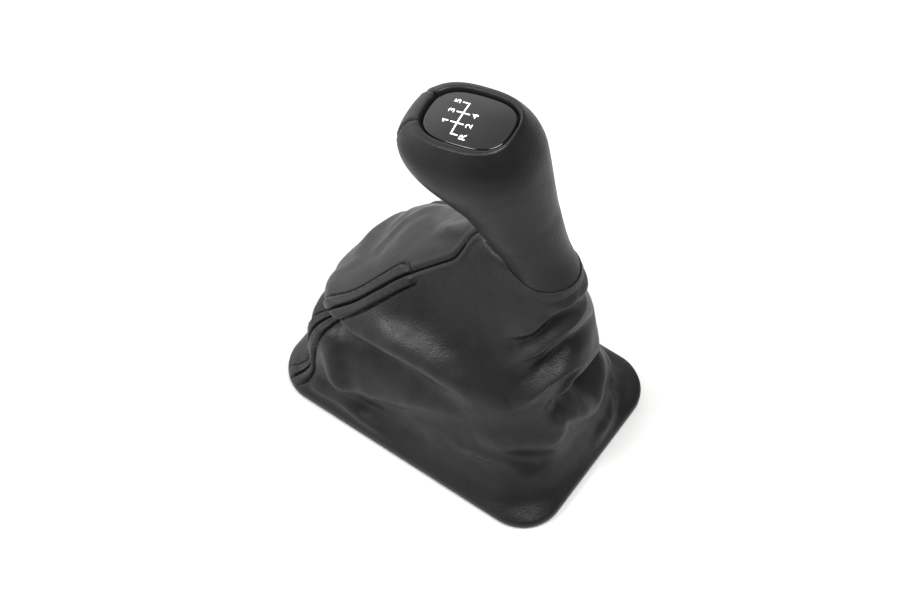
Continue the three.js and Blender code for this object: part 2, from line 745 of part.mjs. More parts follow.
// Leather from the edge that is tucked in beside the cap, over the lip and down to the neck
function coverRows() {
  const tucked = [
    capRing(CAP_GAP, CAP_THICK),
    capRing(CAP_GAP, LIP_START),
    capRing(CAP_GAP + LIP_BEND.out * LIP_ROLL, -LIP_BEND.up * LIP_RISE),
    capRing(CAP_GAP + LIP_ROLL, -LIP_RISE),
  ];
  return [
    ...tucked.map((section) => ({ level: 0, point: (turn) => ovalPoint(turn, section) })),
    ...KNOB_LEVELS.map((level) => ({ level, point: (turn) => knobPoint(turn, level) })),
  ].reverse();
}

function knobLeather(fromOf, toOf, steps) {
  const grid = coverRows()
    .map(({ level, point }) => turnsBetween(fromOf(level), toOf(level), steps).map(point));
  return sheetGeometry(openSeams(grid), LEATHER);
}

function lathe(points, steps = NECK_STEPS) {
  const profile = points.map(([radius, height]) => new THREE.Vector2(radius, height));
  return new THREE.LatheGeometry([...profile, profile[0]], steps).rotateX(rad(90));
}

// A round piece on the lever's axis, its height 0 at the bottom end of the collar
function onNeck(geometry) {
  const end = neckCentre(NECK_END + COLLAR_LENGTH);
  const turn = new THREE.Quaternion().setFromUnitVectors(new THREE.Vector3(0, 0, 1), NECK_AXIS);
  return geometry.applyQuaternion(turn).translate(end.x, end.y, end.z);
}

function rod(radius, from, to) {
  return new THREE.CylinderGeometry(radius, radius, to - from, NECK_STEPS)
    .rotateX(rad(90)).translate(0, 0, (from + to) / 2);
}

function capOutline(grow, steps = COVER_STEPS) {
  const ring = capRing(grow, 0);
  return turnsBetween(0, 360, steps).slice(0, -1).map((turn) => ovalPoint(turn, ring));
}

function capPrism(grow, bottom, top) {
  const at = (height) => capOutline(grow).map((point) => point.clone().setZ(height));
  return ringSolid([at(bottom), at(top)]);
}

const PEG_PLACES = [PEG_SPACING / 2, -PEG_SPACING / 2];

function pegs(grow, bottom, top) {
  return PEG_PLACES.map((y) => rod(PEG_RADIUS + grow, bottom, top).translate(0, y, 0));
}

function knobCore() {
  const grid = KNOB_LEVELS.map((level) => turnsBetween(0, 360, COVER_STEPS).slice(0, -1)
    .map((turn) => knobPoint(turn, level)));
  const shell = offsetGrid(grid.reverse(), -(LEATHER + CLEAR), true).slice(0, -1);
  const body = solidFrom(ringSolid(shell));
  const collar = solidFrom(onNeck(rod(COLLAR_RADIUS, 0, COLLAR_LENGTH + OVERRUN)));
  const recess = capPrism(CAP_GAP + LEATHER + CLEAR, -CAP_THICK - CLEAR, OVERRUN);
  const bushRadius = LEVER_DIAMETER / 2 + BUSH_WALL + CLEAR;
  const bore = onNeck(rod(bushRadius, -OVERRUN, BUSH_LENGTH + CLEAR));
  const sockets = pegs(CLEAR, -CAP_THICK - PEG_LENGTH - CLEAR, 0);
  const cuts = [recess, bore, ...sockets].map(solidFrom);
  return geometryFrom(cuts.reduce((solid, cut) => solid.subtract(cut), body.add(collar)));
}

// The crowned top of the cap, or a surface that lies a little above it
function crownRings(rise) {
  const inside = 1 - CAP_EDGE / CAP_HALF_WIDTH;
  return [1, 0.7, 0.4].map((share) => capOutline(0).map((point) => point
    .multiplyScalar(share * inside)
    .setZ(CAP_CROWN * (1 - share ** 2) + rise)));
}

function capPlate() {
  const at = (height) => capOutline(0).map((point) => point.setZ(height));
  const plate = ringSolid([at(-CAP_THICK), at(-CAP_EDGE), ...crownRings(0)]);
  return geometryFrom(fuse([plate, ...pegs(0, -CAP_THICK - PEG_LENGTH, -CAP_THICK / 2)]));
}

// Shift pattern: strokes laid just over the cap

function stroke(from, to, width) {
  const along = new THREE.Vector2(...to).sub(new THREE.Vector2(...from));
  const middle = new THREE.Vector2(...from).add(new THREE.Vector2(...to)).multiplyScalar(0.5);
  return new THREE.BoxGeometry(along.length() + width, width, PRINT_SINK)
    .rotateZ(along.angle()).translate(middle.x, middle.y, 0);
}

function strokePath(points, width) {
  return points.slice(1).map((end, i) => stroke(points[i], end, width));
}

// Digits and the R on a cell 1 wide and 1 high
const GLYPHS = {
  1: [[[-0.3, 0.25], [0.05, 0.5], [0.05, -0.5]]],
  2: [[[-0.45, 0.3], [-0.2, 0.5], [0.25, 0.5], [0.45, 0.25], [-0.45, -0.5], [0.45, -0.5]]],
  3: [[[-0.45, 0.5], [0.45, 0.5], [0, 0.08], [0.45, -0.15], [0.3, -0.45], [-0.45, -0.45]]],
  4: [[[0.5, -0.15], [-0.5, -0.15], [0.2, 0.5], [0.2, -0.5]]],
  5: [[[0.45, 0.5], [-0.4, 0.5], [-0.4, 0.05], [0.2, 0.1], [0.45, -0.2], [0.2, -0.48], [-0.45, -0.45]]],
  R: [[[-0.4, -0.5], [-0.4, 0.5], [0.2, 0.5], [0.42, 0.25], [0.2, 0], [-0.4, 0]], [[0, 0], [0.45, -0.5]]],
};

const GATE_COLUMNS = [
  { place: -1.5, rear: 'R' },
  { place: -0.5, front: '1', rear: '2' },
  { place: 0.5, front: '3', rear: '4' },
  { place: 1.5, front: '5' },
];

function glyph(name, x, y) {
  return GLYPHS[name].flatMap((path) => strokePath(
    path.map(([across, up]) => [x + across * DIGIT_WIDTH, y + up * DIGIT_HEIGHT]),
    DIGIT_LINE,
  ));
}

// Space under a surface that lies a little above the cap
function overCap(rise) {
  const rings = crownRings(rise);
  return solidFrom(ringSolid([rings[0].map((point) => point.clone().setZ(-PRINT_SINK)), ...rings]));
}

function printed(strokes) {
  const flat = fuse(strokes.map((piece) => piece.translate(PATTERN_RIGHT, PATTERN_FORWARD, 0)));
  return geometryFrom(flat.intersect(overCap(CLEAR + PRINT_THICK)).subtract(overCap(CLEAR)));
}

function gateLines() {
  const ends = GATE_COLUMNS.flatMap(({ place, front, rear }) => [
    ...(front ? [[place, GATE_REACH]] : []),
    ...(rear ? [[place, -GATE_REACH]] : []),
  ]);
  const bar = stroke([-1.5 * GATE_PITCH, 0], [1.5 * GATE_PITCH, 0], PRINT_LINE);
  const tick = ([place, end]) => stroke([place * GATE_PITCH, 0], [place * GATE_PITCH, end], PRINT_LINE);
  return printed([bar, ...ends.map(tick)]);
}

const LABELS = GATE_COLUMNS.flatMap(({ place, front, rear }) => {
  const away = GATE_REACH + PRINT_LINE / 2 + DIGIT_GAP + DIGIT_HEIGHT / 2;
  return [
    ...(front ? [{ name: front, x: place * GATE_PITCH, y: away }] : []),
    ...(rear ? [{ name: rear, x: place * GATE_PITCH, y: -away }] : []),
  ];
});

// Tie that grips the hem on the knob's collar

function tieBand() {
  const inner = TIED_RADIUS + LEATHER + CLEAR;
  const low = HEM_STEP;
  const ring = onNeck(lathe([
    [inner, low],
    [inner + TIE_THICK, low],
    [inner + TIE_THICK, low + TIE_WIDTH],
    [inner, low + TIE_WIDTH],
  ]));
  const head = new THREE.BoxGeometry(TIE_HEAD, TIE_HEAD, TIE_WIDTH + 2 * TIE_HEAD_PROUD)
    .translate(0, inner + TIE_THICK / 2 + TIE_HEAD / 2, low + TIE_WIDTH / 2);
  return geometryFrom(fuse([ring, onNeck(head)]));
}

function leverBush() {
  const inner = LEVER_DIAMETER / 2;
  return onNeck(lathe([
    [inner, 0],
    [inner + BUSH_WALL, 0],
    [inner + BUSH_WALL, BUSH_LENGTH],
    [inner, BUSH_LENGTH],
  ]));
}

// The assembly

function material(color, roughness, metalness = 0) {
  return new THREE.MeshStandardMaterial({ color, roughness, metalness });
}

const gaiterLeather = material(0x1a1b1d, 0.55);
const knobLeatherFinish = material(0x1c1c1f, 0.48);
const blackThread = material(0x101012, 0.8);
const blackPlastic = material(0x151617, 0.6);
const glossPlastic = material(0x0c0c0e, 0.12);
const whitePrint = material(0xe9e9e6, 0.5);
const steel = material(0x9a9da1, 0.35, 0.9);
const nylon = material(0x202122, 0.5);

function named(name, geometry, finish) {
  const mesh = new THREE.Mesh(geometry, finish);
  mesh.name = name;
  return mesh;
}

const holed = (geometry) => geometryFrom(solidFrom(geometry).subtract(STAPLE_HOLES));

const rightSeam = (level) => seamTurn(level);
const leftSeam = (level) => 180 - seamTurn(level);
const rightSeamAgain = (level) => 360 + seamTurn(level);
const frontPanel = holed(gaiterPanel(rightSeam, leftSeam, FRONT_STRETCHES));
const wrapPanel = holed(gaiterPanel(leftSeam, rightSeamAgain, WRAP_STRETCHES));
const strip = knobLeather((level) => 90 - stripTurn(level), (level) => 90 + stripTurn(level), STRIP_STEPS);
const cover = knobLeather((level) => 90 + stripTurn(level), (level) => 450 - stripTurn(level), COVER_STEPS);

const base = new THREE.Group();
base.add(
  named('gaiter_front_panel', frontPanel, gaiterLeather),
  named('gaiter_wrap_panel', wrapPanel, gaiterLeather),
  named('right_seam_side_stitching', topstitching(wrapPanel, 1, -STITCH_OFFSET), blackThread),
  named('right_seam_front_stitching', topstitching(frontPanel, 1, STITCH_OFFSET), blackThread),
  named('left_seam_front_stitching', topstitching(frontPanel, -1, -STITCH_OFFSET), blackThread),
  named('left_seam_side_stitching', topstitching(wrapPanel, -1, STITCH_OFFSET), blackThread),
  named('base_frame', baseFrame(), blackPlastic),
  ...STAPLE_PLACES.map((place, i) => named(`hem_staple_${i + 1}`, staple(place), steel)),
  ...CLIP_PLACES.map((place, i) => named(`frame_clip_${i + 1}`, frameClip(place), steel)),
);

const knob = new THREE.Group();
knob.add(
  named('knob_leather_cover', cover, knobLeatherFinish),
  named('knob_leather_front_strip', strip, knobLeatherFinish),
  named('knob_core', knobCore(), blackPlastic),
  named('knob_cap', capPlate(), glossPlastic),
  named('gate_lines', gateLines(), whitePrint),
  ...LABELS.map(({ name, x, y }) => named(`gate_label_${name}`, printed(glyph(name, x, y)), whitePrint)),
  named('lever_bush', leverBush(), nylon),
  named('gaiter_tie', tieBand(), nylon),
);
KNOB_PLACE.decompose(knob.position, knob.quaternion, knob.scale);

const gaiter = new THREE.Group();
gaiter.add(base, knob);

export default gaiter;
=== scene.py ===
"""Gear lever gaiter with its leather gear knob.

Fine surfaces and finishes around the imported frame, with a plain pale studio.
Sizes are in millimetres and degrees, and each mesh is turned to metres when it is made.
"""

import logging
import math
from collections.abc import Iterable, Sequence
from dataclasses import dataclass, field
from enum import Enum

import bmesh
import bpy
import numpy as np
from mathutils import Matrix, Vector, noise


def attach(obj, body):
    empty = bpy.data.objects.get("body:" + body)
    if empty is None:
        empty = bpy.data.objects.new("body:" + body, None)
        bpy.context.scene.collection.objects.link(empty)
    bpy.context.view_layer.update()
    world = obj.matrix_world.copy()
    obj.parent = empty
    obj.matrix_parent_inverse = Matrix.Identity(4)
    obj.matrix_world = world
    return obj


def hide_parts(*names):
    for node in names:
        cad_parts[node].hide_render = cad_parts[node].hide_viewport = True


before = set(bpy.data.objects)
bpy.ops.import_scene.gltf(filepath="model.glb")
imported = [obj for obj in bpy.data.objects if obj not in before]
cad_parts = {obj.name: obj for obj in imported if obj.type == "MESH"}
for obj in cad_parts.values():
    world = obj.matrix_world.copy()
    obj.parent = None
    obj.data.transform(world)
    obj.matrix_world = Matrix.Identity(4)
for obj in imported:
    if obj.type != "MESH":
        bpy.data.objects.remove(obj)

MM = 0.001
BODY = "root"
log = logging.getLogger("gaiter")


# Small tools for numbers and points


def smooth_step(value: np.ndarray | float, low: float, high: float) -> np.ndarray:
    """Goes smoothly from 0 at low to 1 at high, where high may be the smaller of the two.

    Args:
        value: Where to look.
        low: The value that gives 0.
        high: The value that gives 1.

    Returns:
        The share between 0 and 1, shaped as value.
    """
    share = np.clip((np.asarray(value, float) - low) / (high - low), 0.0, 1.0)
    return share * share * (3.0 - 2.0 * share)


def unit(vectors: np.ndarray) -> np.ndarray:
    """Scales each vector on the last axis to length 1."""
    return vectors / np.maximum(np.linalg.norm(vectors, axis=-1, keepdims=True), 1e-9)


def stack(x: np.ndarray, y: np.ndarray, z: np.ndarray) -> np.ndarray:
    """Joins three coordinate arrays into one array of points."""
    return np.stack(np.broadcast_arrays(x, y, z), axis=-1).astype(float)


def spline_weights(level: np.ndarray, count: int) -> np.ndarray:
    """Weights of a smooth curve through a row of control points.

    Args:
        level: Places along the curve, counted in control points.
        count: How many control points there are.

    Returns:
        An array of shape (count, *level.shape) that sums to 1 over its first axis.
    """
    start = np.clip(np.floor(level).astype(int), 0, count - 2)
    t = level - start
    before = (-t**3 + 2 * t**2 - t) / 2
    first = (3 * t**3 - 5 * t**2 + 2) / 2
    second = (-3 * t**3 + 4 * t**2 + t) / 2
    after = (t**3 - t**2) / 2
    weights = np.zeros((count, *level.shape))
    for i in range(count - 1):
        here = start == i
        weights[i][here] += first[here]
        weights[i + 1][here] += second[here]
        if i > 0:
            weights[i - 1][here] += before[here]
        else:
            weights[i][here] += 2 * before[here]
            weights[i + 1][here] -= before[here]
        if i + 2 < count:
            weights[i + 2][here] += after[here]
        else:
            weights[i + 1][here] += 2 * after[here]
            weights[i][here] -= after[here]
    return weights


def along_spline(points: Sequence[np.ndarray], level: np.ndarray) -> np.ndarray:
    """Points of the smooth surface through a pile of rings.

    Args:
        points: One array of points for each ring, each of shape (*level.shape, 3).
        level: Where between the rings each point lies.

    Returns:
        Points of shape (*level.shape, 3).
    """
    weights = spline_weights(level, len(points))
    return np.einsum("s...,s...k->...k", weights, np.stack(points))


def grid_normals(grid: np.ndarray) -> np.ndarray:
    """Outward directions on a grid of points whose rows run round and whose columns run up."""
    return unit(np.cross(np.gradient(grid, axis=1), np.gradient(grid, axis=0)))


def walked(points: np.ndarray, axis: int) -> np.ndarray:
    """Length walked along one axis of a grid of points, from its start.

    Args:
        points: The grid, of shape (rows, columns, 3).
        axis: 0 to walk up the columns, 1 to walk along the rows.

    Returns:
        Distances of shape (rows, columns).
    """
    steps = np.linalg.norm(np.diff(points, axis=axis), axis=-1)
    start = np.zeros_like(steps[:1] if axis == 0 else steps[:, :1])
    return np.concatenate([start, np.cumsum(steps, axis=axis)], axis=axis)


def points_at(stops: np.ndarray, length: np.ndarray, line: np.ndarray) -> np.ndarray:
    """Points of a line at chosen lengths.

    Args:
        stops: The lengths that are asked for.
        length: Length walked at each point of the line.
        line: The points, or directions, of the line.

    Returns:
        One row for each stop.
    """
    return np.stack([np.interp(stops, length, line[:, k]) for k in range(3)], axis=1)


def odd_rows(grid: np.ndarray) -> np.ndarray:
    """Drops the first row of a grid where its rows come to an even number."""
    return grid if len(grid) % 2 else grid[1:]


def part_edges(grid: np.ndarray, gap: float) -> None:
    """Draws a panel's first and last column in, so that it stands half a gap off its seams."""
    for edge, inner in ((0, 1), (-1, -2)):
        grid[:, edge] += unit(grid[:, inner] - grid[:, edge]) * gap / 2


def soft_noise(points: np.ndarray, size: float, seed: float) -> np.ndarray:
    """Smooth noise between about -1 and 1.

    Args:
        points: Where to read it, of shape (rows, columns, 3).
        size: Size of its lumps.
        seed: Moves the pattern, so that two uses differ.

    Returns:
        Values of shape (rows, columns).
    """
    flat = points.reshape(-1, 3) / size + seed
    values = [noise.noise(Vector(place)) for place in flat]
    return np.array(values).reshape(points.shape[:-1])


# Meshes


def mesh_object(name: str, points: np.ndarray, faces: Iterable[Sequence[int]],
                crease: float = 50.0, scale: float = MM) -> bpy.types.Object:
    """Makes a piece from points in millimetres.

    Args:
        name: The piece's name.
        points: Vertices of shape (n, 3).
        faces: Vertex numbers of each face, outward.
        crease: Angle in degrees past which an edge is sharp.
        scale: Size of a millimetre in the mesh.

    Returns:
        The new object, linked to the scene and shaded smooth.
    """
    mesh = bpy.data.meshes.new(name)
    mesh.from_pydata((np.asarray(points) * scale).tolist(), [], [list(face) for face in faces])
    mesh.validate()
    mesh.polygons.foreach_set("use_smooth", [True] * len(mesh.polygons))
    mesh.set_sharp_from_angle(angle=math.radians(crease))
    mesh.update()
    piece = bpy.data.objects.new(name, mesh)
    bpy.context.scene.collection.objects.link(piece)
    return piece


def quad_faces(rows: int, columns: int, wraps: bool = False, first: int = 0,
               inward: bool = False) -> list[tuple[int, ...]]:
    """Faces of a grid of points laid out row by row.

    Args:
        rows: How many rows the grid has.
        columns: How many points a row has.
        wraps: True where the last column meets the first.
        first: Number of the grid's first vertex.
        inward: True to turn the faces over.

    Returns:
        Four vertex numbers for each face.
    """
    across = columns if wraps else columns - 1
    faces = []
    for i in range(rows - 1):
        for j in range(across):
            a = first + i * columns + j
            b = first + i * columns + (j + 1) % columns
            ring = (a, b, b + columns, a + columns)
            faces.append(ring[::-1] if inward else ring)
    return faces


@dataclass(frozen=True)
class Panel:
    """A cut panel of leather: its names, and its size and area in metres when laid flat."""

    piece: str
    node: str
    flat: tuple[float, float]
    area: float


KNOB_COVER = Panel("knob_cover_leather", "knob_leather_cover", (0.125, 0.105), 0.0095)
KNOB_STRIP = Panel("knob_strip_leather", "knob_leather_front_strip", (0.028, 0.105), 0.0018)
GAITER_FRONT = Panel("gaiter_front_leather", "gaiter_front_panel", (0.122, 0.150), 0.0112)
GAITER_WRAP = Panel("gaiter_wrap_leather", "gaiter_wrap_panel", (0.400, 0.155), 0.0370)


def leather_sheet(name: str, outer: np.ndarray, thickness: np.ndarray) -> bpy.types.Object:
    """A leather panel: a fine outer face, an inner face half as fine and closed edges.

    Args:
        name: The piece's name.
        outer: Outer face, of shape (rows, columns, 3), both numbers odd.
        thickness: Thickness of the leather on each row, as it is skived at its hems.

    Returns:
        The panel. Its inner faces use the second material.
    """
    rows, columns = outer.shape[:2]
    inner = (outer - thickness[:, None, None] * grid_normals(outer))[::2, ::2]
    inner_rows, inner_columns = inner.shape[:2]
    first = rows * columns

    def low(i: int, j: int) -> int:
        """Number of an inner vertex."""
        return first + i * inner_columns + j

    def high(i: int, j: int) -> int:
        """Number of an outer vertex."""
        return i * columns + j

    faces = quad_faces(rows, columns)
    outside = len(faces)
    faces += quad_faces(inner_rows, inner_columns, first=first, inward=True)
    inside = len(faces)
    end_row, end_column = inner_rows - 1, inner_columns - 1
    far = columns - 1
    for i in range(end_row):
        a, b, c = 2 * i, 2 * i + 1, 2 * i + 2
        faces.append((high(a, 0), high(b, 0), high(c, 0), low(i + 1, 0), low(i, 0)))
        faces.append((high(c, far), high(b, far), high(a, far), low(i, end_column),
                      low(i + 1, end_column)))
    last = rows - 1
    for j in range(end_column):
        a, b, c = 2 * j, 2 * j + 1, 2 * j + 2
        faces.append((high(0, c), high(0, b), high(0, a), low(0, j), low(0, j + 1)))
        faces.append((high(last, a), high(last, b), high(last, c), low(end_row, j + 1),
                      low(end_row, j)))
    piece = mesh_object(name, np.concatenate([outer.reshape(-1, 3), inner.reshape(-1, 3)]), faces)
    backing = [1 if outside <= k < inside else 0 for k in range(len(piece.data.polygons))]
    piece.data.polygons.foreach_set("material_index", backing)
    return piece


def ring_body(rings: Sequence[np.ndarray]) -> tuple[np.ndarray, list[tuple[int, ...]]]:
    """A closed body through rings of points, with flat ends.

    Args:
        rings: Closed rings from the bottom up, all with the same number of points.

    Returns:
        Its vertices and faces.
    """
    columns = len(rings[0])
    last = (len(rings) - 1) * columns
    faces = quad_faces(len(rings), columns, wraps=True)
    faces.append(tuple(range(columns))[::-1])
    faces.append(tuple(range(last, last + columns)))
    return np.concatenate(rings), faces


def joined(bodies: Sequence[tuple[np.ndarray, list[tuple[int, ...]]]]
           ) -> tuple[np.ndarray, list[tuple[int, ...]]]:
    """Joins separate bodies into the vertices and faces of one mesh.

    Args:
        bodies: The vertices and the faces of each body.

    Returns:
        The vertices and the faces of all of them.
    """
    faces = []
    count = 0
    for points, body_faces in bodies:
        faces += [tuple(count + vertex for vertex in face) for face in body_faces]
        count += len(points)
    return np.concatenate([points for points, _ in bodies]), faces


class Cut(Enum):
    """How one mesh changes another, with the solver that does it cleanly."""

    UNION = "EXACT"
    INTERSECT = "FAST"


def apply_boolean(target: bpy.types.Object, other: bpy.types.Object, cut: Cut) -> None:
    """Joins one mesh to another or trims it with that, and removes the other.

    Args:
        target: The mesh that is changed.
        other: The mesh that changes it.
        cut: Whether the other is joined on or trims.
    """
    modifier = target.modifiers.new("cut", "BOOLEAN")
    modifier.operation = cut.name
    modifier.solver = cut.value
    modifier.object = other
    bpy.context.view_layer.update()
    evaluated = target.evaluated_get(bpy.context.evaluated_depsgraph_get())
    mesh = bpy.data.meshes.new_from_object(evaluated)
    target.modifiers.clear()
    target.data = mesh
    bpy.data.objects.remove(other)


# Materials


def linear(colour: str) -> tuple[float, float, float, float]:
    """Turns an sRGB colour into a linear one.

    Args:
        colour: Six hex digits, such as "1a1b1d".

    Returns:
        Linear red, green, blue and alpha.
    """
    shares = [int(colour[i:i + 2], 16) / 255 for i in (0, 2, 4)]
    values = [c / 12.92 if c <= 0.04045 else ((c + 0.055) / 1.055) ** 2.4 for c in shares]
    return (*values, 1.0)


def add_node(tree: bpy.types.NodeTree, kind: str, settings: dict | None = None,
             links: dict | None = None) -> bpy.types.Node:
    """Adds one node.

    Args:
        tree: The material's node tree.
        kind: Blender's name of the node type.
        settings: Values by name: of an input socket, or else of the node itself.
        links: Output sockets by the name or number of the input that each feeds.

    Returns:
        The new node.
    """
    node = tree.nodes.new(kind)
    for name, value in (settings or {}).items():
        if isinstance(name, int) or name in node.inputs:
            node.inputs[name].default_value = value
        else:
            setattr(node, name, value)
    for name, source in (links or {}).items():
        tree.links.new(source, node.inputs[name])
    return node


def bare_finish(name: str) -> bpy.types.Material:
    """A new material whose node tree is still empty.

    Args:
        name: Name of the material.

    Returns:
        The material.
    """
    finish = bpy.data.materials.new(name)
    finish.use_nodes = True
    finish.node_tree.nodes.clear()
    return finish


class Grain(Enum):
    """How the grain side of a leather was finished.

    Each gives the width of its pebbles, the width of its creases and their depth in
    millimetres. Pebbles of a real nappa are somewhat finer than the render can show.
    """

    MILLED = (0.95, 4.0, 0.35)
    PRESSED = (0.9, 4.5, 0.18)


@dataclass(frozen=True)
class Leather:
    """Chrome tanned cowhide with a pigmented grain side, as upholstery leather is.

    The pigment makes it near black and even, the resin top coat gives a satin sheen,
    and its pebbled grain breaks that sheen into a fine sparkle.
    """

    name: str = "milled_nappa_cowhide"
    grain: Grain = Grain.MILLED
    colour: str = "121213"
    # Paler colour for fold ridges: partly rubbed leather, partly a painted highlight on the crests.
    rubbed_and_highlight_colour: str = "222223"
    roughness: float = 0.42
    ior: float = 1.5
    specular: float = 0.2
    pebble_depth: float = 0.11
    mottle: float = 14.0
    duller: float = 0.05
    glossier: float = 0.06

    def material(self) -> bpy.types.Material:
        """Builds the finish.

        Returns:
            A material that is paler on the ridges that the mesh's fold attribute marks, partly as
            rubbed leather and partly as a painted highlight.
        """
        pebble, crease, crease_depth = self.grain.value
        finish = bare_finish(self.name)
        tree = finish.node_tree
        place = add_node(tree, "ShaderNodeTexCoord").outputs["Object"]
        cells = add_node(tree, "ShaderNodeTexVoronoi", {
            "feature": "SMOOTH_F1", "Scale": 1.0 / (pebble * MM), "Smoothness": 0.5,
            "Randomness": 1.0}, {"Vector": place})
        flow = add_node(tree, "ShaderNodeTexNoise", {
            "Scale": 1.0 / (crease * MM), "Detail": 4.0, "Roughness": 0.6,
            "Distortion": 0.8}, {"Vector": place})
        mottle = add_node(tree, "ShaderNodeTexNoise", {
            "Scale": 1.0 / (self.mottle * MM), "Detail": 3.0, "Roughness": 0.55},
            {"Vector": place})
        fold = add_node(tree, "ShaderNodeAttribute", {"attribute_name": "fold"})
        # Ridges that the fold attribute marks turn paler in patches of the mottle: partly rubbed
        # leather, partly a painted highlight on the fold crests.
        rub_and_highlight = add_node(tree, "ShaderNodeMath", {"operation": "MULTIPLY", "use_clamp": True}, {
            0: fold.outputs["Fac"], 1: mottle.outputs["Fac"]})
        tint = add_node(tree, "ShaderNodeMix", {
            "data_type": "RGBA", 6: linear(self.colour), 7: linear(self.rubbed_and_highlight_colour)},
            {0: rub_and_highlight.outputs[0]})
        gloss = add_node(tree, "ShaderNodeMapRange", {
            "From Min": 0.3, "From Max": 0.7, "To Min": self.roughness + self.duller,
            "To Max": self.roughness - self.glossier}, {"Value": mottle.outputs["Fac"]})
        creased = add_node(tree, "ShaderNodeBump", {
            "Strength": 0.5, "Distance": crease_depth * MM}, {"Height": flow.outputs["Fac"]})
        pebbled = add_node(tree, "ShaderNodeBump", {
            "Strength": 0.6, "Distance": self.pebble_depth * MM, "invert": True},
            {"Height": cells.outputs["Distance"], "Normal": creased.outputs[0]})
        shader = add_node(tree, "ShaderNodeBsdfPrincipled", {
            "IOR": self.ior, "Specular IOR Level": self.specular}, {
            "Base Color": tint.outputs[2], "Roughness": gloss.outputs[0],
            "Normal": pebbled.outputs[0]})
        add_node(tree, "ShaderNodeOutputMaterial", links={"Surface": shader.outputs[0]})
        return finish


@dataclass(frozen=True)
class FleshSide:
    """The drum dyed back of chrome tanned leather: a short dark grey nap with no shine."""

    name: str = "split_leather_back"
    colour: str = "3a3a3c"
    roughness: float = 0.95
    nap: float = 0.6
    nap_depth: float = 0.1

    def material(self) -> bpy.types.Material:
        """Builds the finish.

        Returns:
            The material.
        """
        finish = bare_finish(self.name)
        tree = finish.node_tree
        place = add_node(tree, "ShaderNodeTexCoord").outputs["Object"]
        fibres = add_node(tree, "ShaderNodeTexNoise", {
            "Scale": 1.0 / (self.nap * MM), "Detail": 5.0}, {"Vector": place})
        bump = add_node(tree, "ShaderNodeBump", {
            "Strength": 0.4, "Distance": self.nap_depth * MM}, {"Height": fibres.outputs["Fac"]})
        shader = add_node(tree, "ShaderNodeBsdfPrincipled", {
            "Base Color": linear(self.colour), "Roughness": self.roughness,
            "Sheen Weight": 0.3}, {"Normal": bump.outputs[0]})
        add_node(tree, "ShaderNodeOutputMaterial", links={"Surface": shader.outputs[0]})
        return finish


@dataclass(frozen=True)
class Moulding:
    """A moulded or drawn material with one fine texture in its surface.

    The texture gives the eye a broken highlight, coarse on a matt moulding
    and hardly there on a polished one.
    """

    name: str
    colour: str
    roughness: float
    ior: float = 1.5
    metallic: float = 0.0
    texture: float = 0.5
    texture_depth: float = 0.03
    unevenness: float = 0.06
    cloud: float = 12.0

    def material(self) -> bpy.types.Material:
        """Builds the finish.

        Returns:
            The material.
        """
        finish = bare_finish(self.name)
        tree = finish.node_tree
        place = add_node(tree, "ShaderNodeTexCoord").outputs["Object"]
        spark = add_node(tree, "ShaderNodeTexNoise", {
            "Scale": 1.0 / (self.texture * MM), "Detail": 3.0}, {"Vector": place})
        clouds = add_node(tree, "ShaderNodeTexNoise", {
            "Scale": 1.0 / (self.cloud * MM), "Detail": 2.0}, {"Vector": place})
        gloss = add_node(tree, "ShaderNodeMapRange", {
            "From Min": 0.3, "From Max": 0.7, "To Min": self.roughness,
            "To Max": self.roughness + self.unevenness}, {"Value": clouds.outputs["Fac"]})
        bump = add_node(tree, "ShaderNodeBump", {
            "Strength": 0.4, "Distance": self.texture_depth * MM},
            {"Height": spark.outputs["Fac"]})
        shader = add_node(tree, "ShaderNodeBsdfPrincipled", {
            "Base Color": linear(self.colour), "IOR": self.ior, "Metallic": self.metallic}, {
            "Roughness": gloss.outputs[0], "Normal": bump.outputs[0]})
        add_node(tree, "ShaderNodeOutputMaterial", links={"Surface": shader.outputs[0]})
        return finish


@dataclass(frozen=True)
class FloorPaint:
    """Matt emulsion paint, rolled on smooth: pale, even and without a highlight."""

    name: str = "matt_white_paint"
    colour: str = "b8b8b7"
    roughness: float = 0.9

    def material(self) -> bpy.types.Material:
        """Builds the finish.

        Returns:
            The material.
        """
        finish = bare_finish(self.name)
        shader = add_node(finish.node_tree, "ShaderNodeBsdfPrincipled", {
            "Base Color": linear(self.colour), "Roughness": self.roughness})
        add_node(finish.node_tree, "ShaderNodeOutputMaterial",
                 links={"Surface": shader.outputs[0]})
        return finish


# Acrylic moulded in a polished tool: a hard, even gloss with clear reflections.
# Its IOR is a little under acrylic's 1.49, which dims them to what the photograph shows.
CAP_ACRYLIC = Moulding("polished_black_acrylic", "0b0b0d", 0.10, ior=1.4, texture=6.0,
                       texture_depth=0.01, unevenness=0.03)
# Two-part pad printing ink, baked: a dense white with a slight tooth.
PAD_INK = Moulding("pad_printed_white_ink", "ececea", 0.45, texture=0.25, texture_depth=0.01)
# Talc filled polypropylene with an eroded tool texture: matt and a little grey.
FRAME_PP = Moulding("moulded_polypropylene", "1b1c1e", 0.55, ior=1.49, texture=0.4,
                    texture_depth=0.05)
# Glass filled nylon: satin, with faint flow marks.
NYLON = Moulding("moulded_nylon_66", "1f2022", 0.42, ior=1.53, texture=0.8, texture_depth=0.03)
# Drawn and zinc plated spring wire and strip: bright with a faint grain along it.
SPRING_STEEL = Moulding("zinc_plated_spring_steel", "a9acb0", 0.32, metallic=1.0, texture=0.3,
                        texture_depth=0.01)
# Bonded polyester sewing thread: a dull sheen over twisted plies.
THREAD = Moulding("bonded_polyester_thread", "0d0d0e", 0.75, texture=0.35, texture_depth=0.08)
# Milled soft, so it takes small creases: a satin that breaks up over them.
GAITER_LEATHER = Leather()
# Pressed flat and drawn tight over the core: the same satin, smoother and a little glossier.
KNOB_LEATHER = Leather(name="pressed_nappa_cowhide", grain=Grain.PRESSED, colour="111112",
                       rubbed_and_highlight_colour="1b1b1c", roughness=0.4)


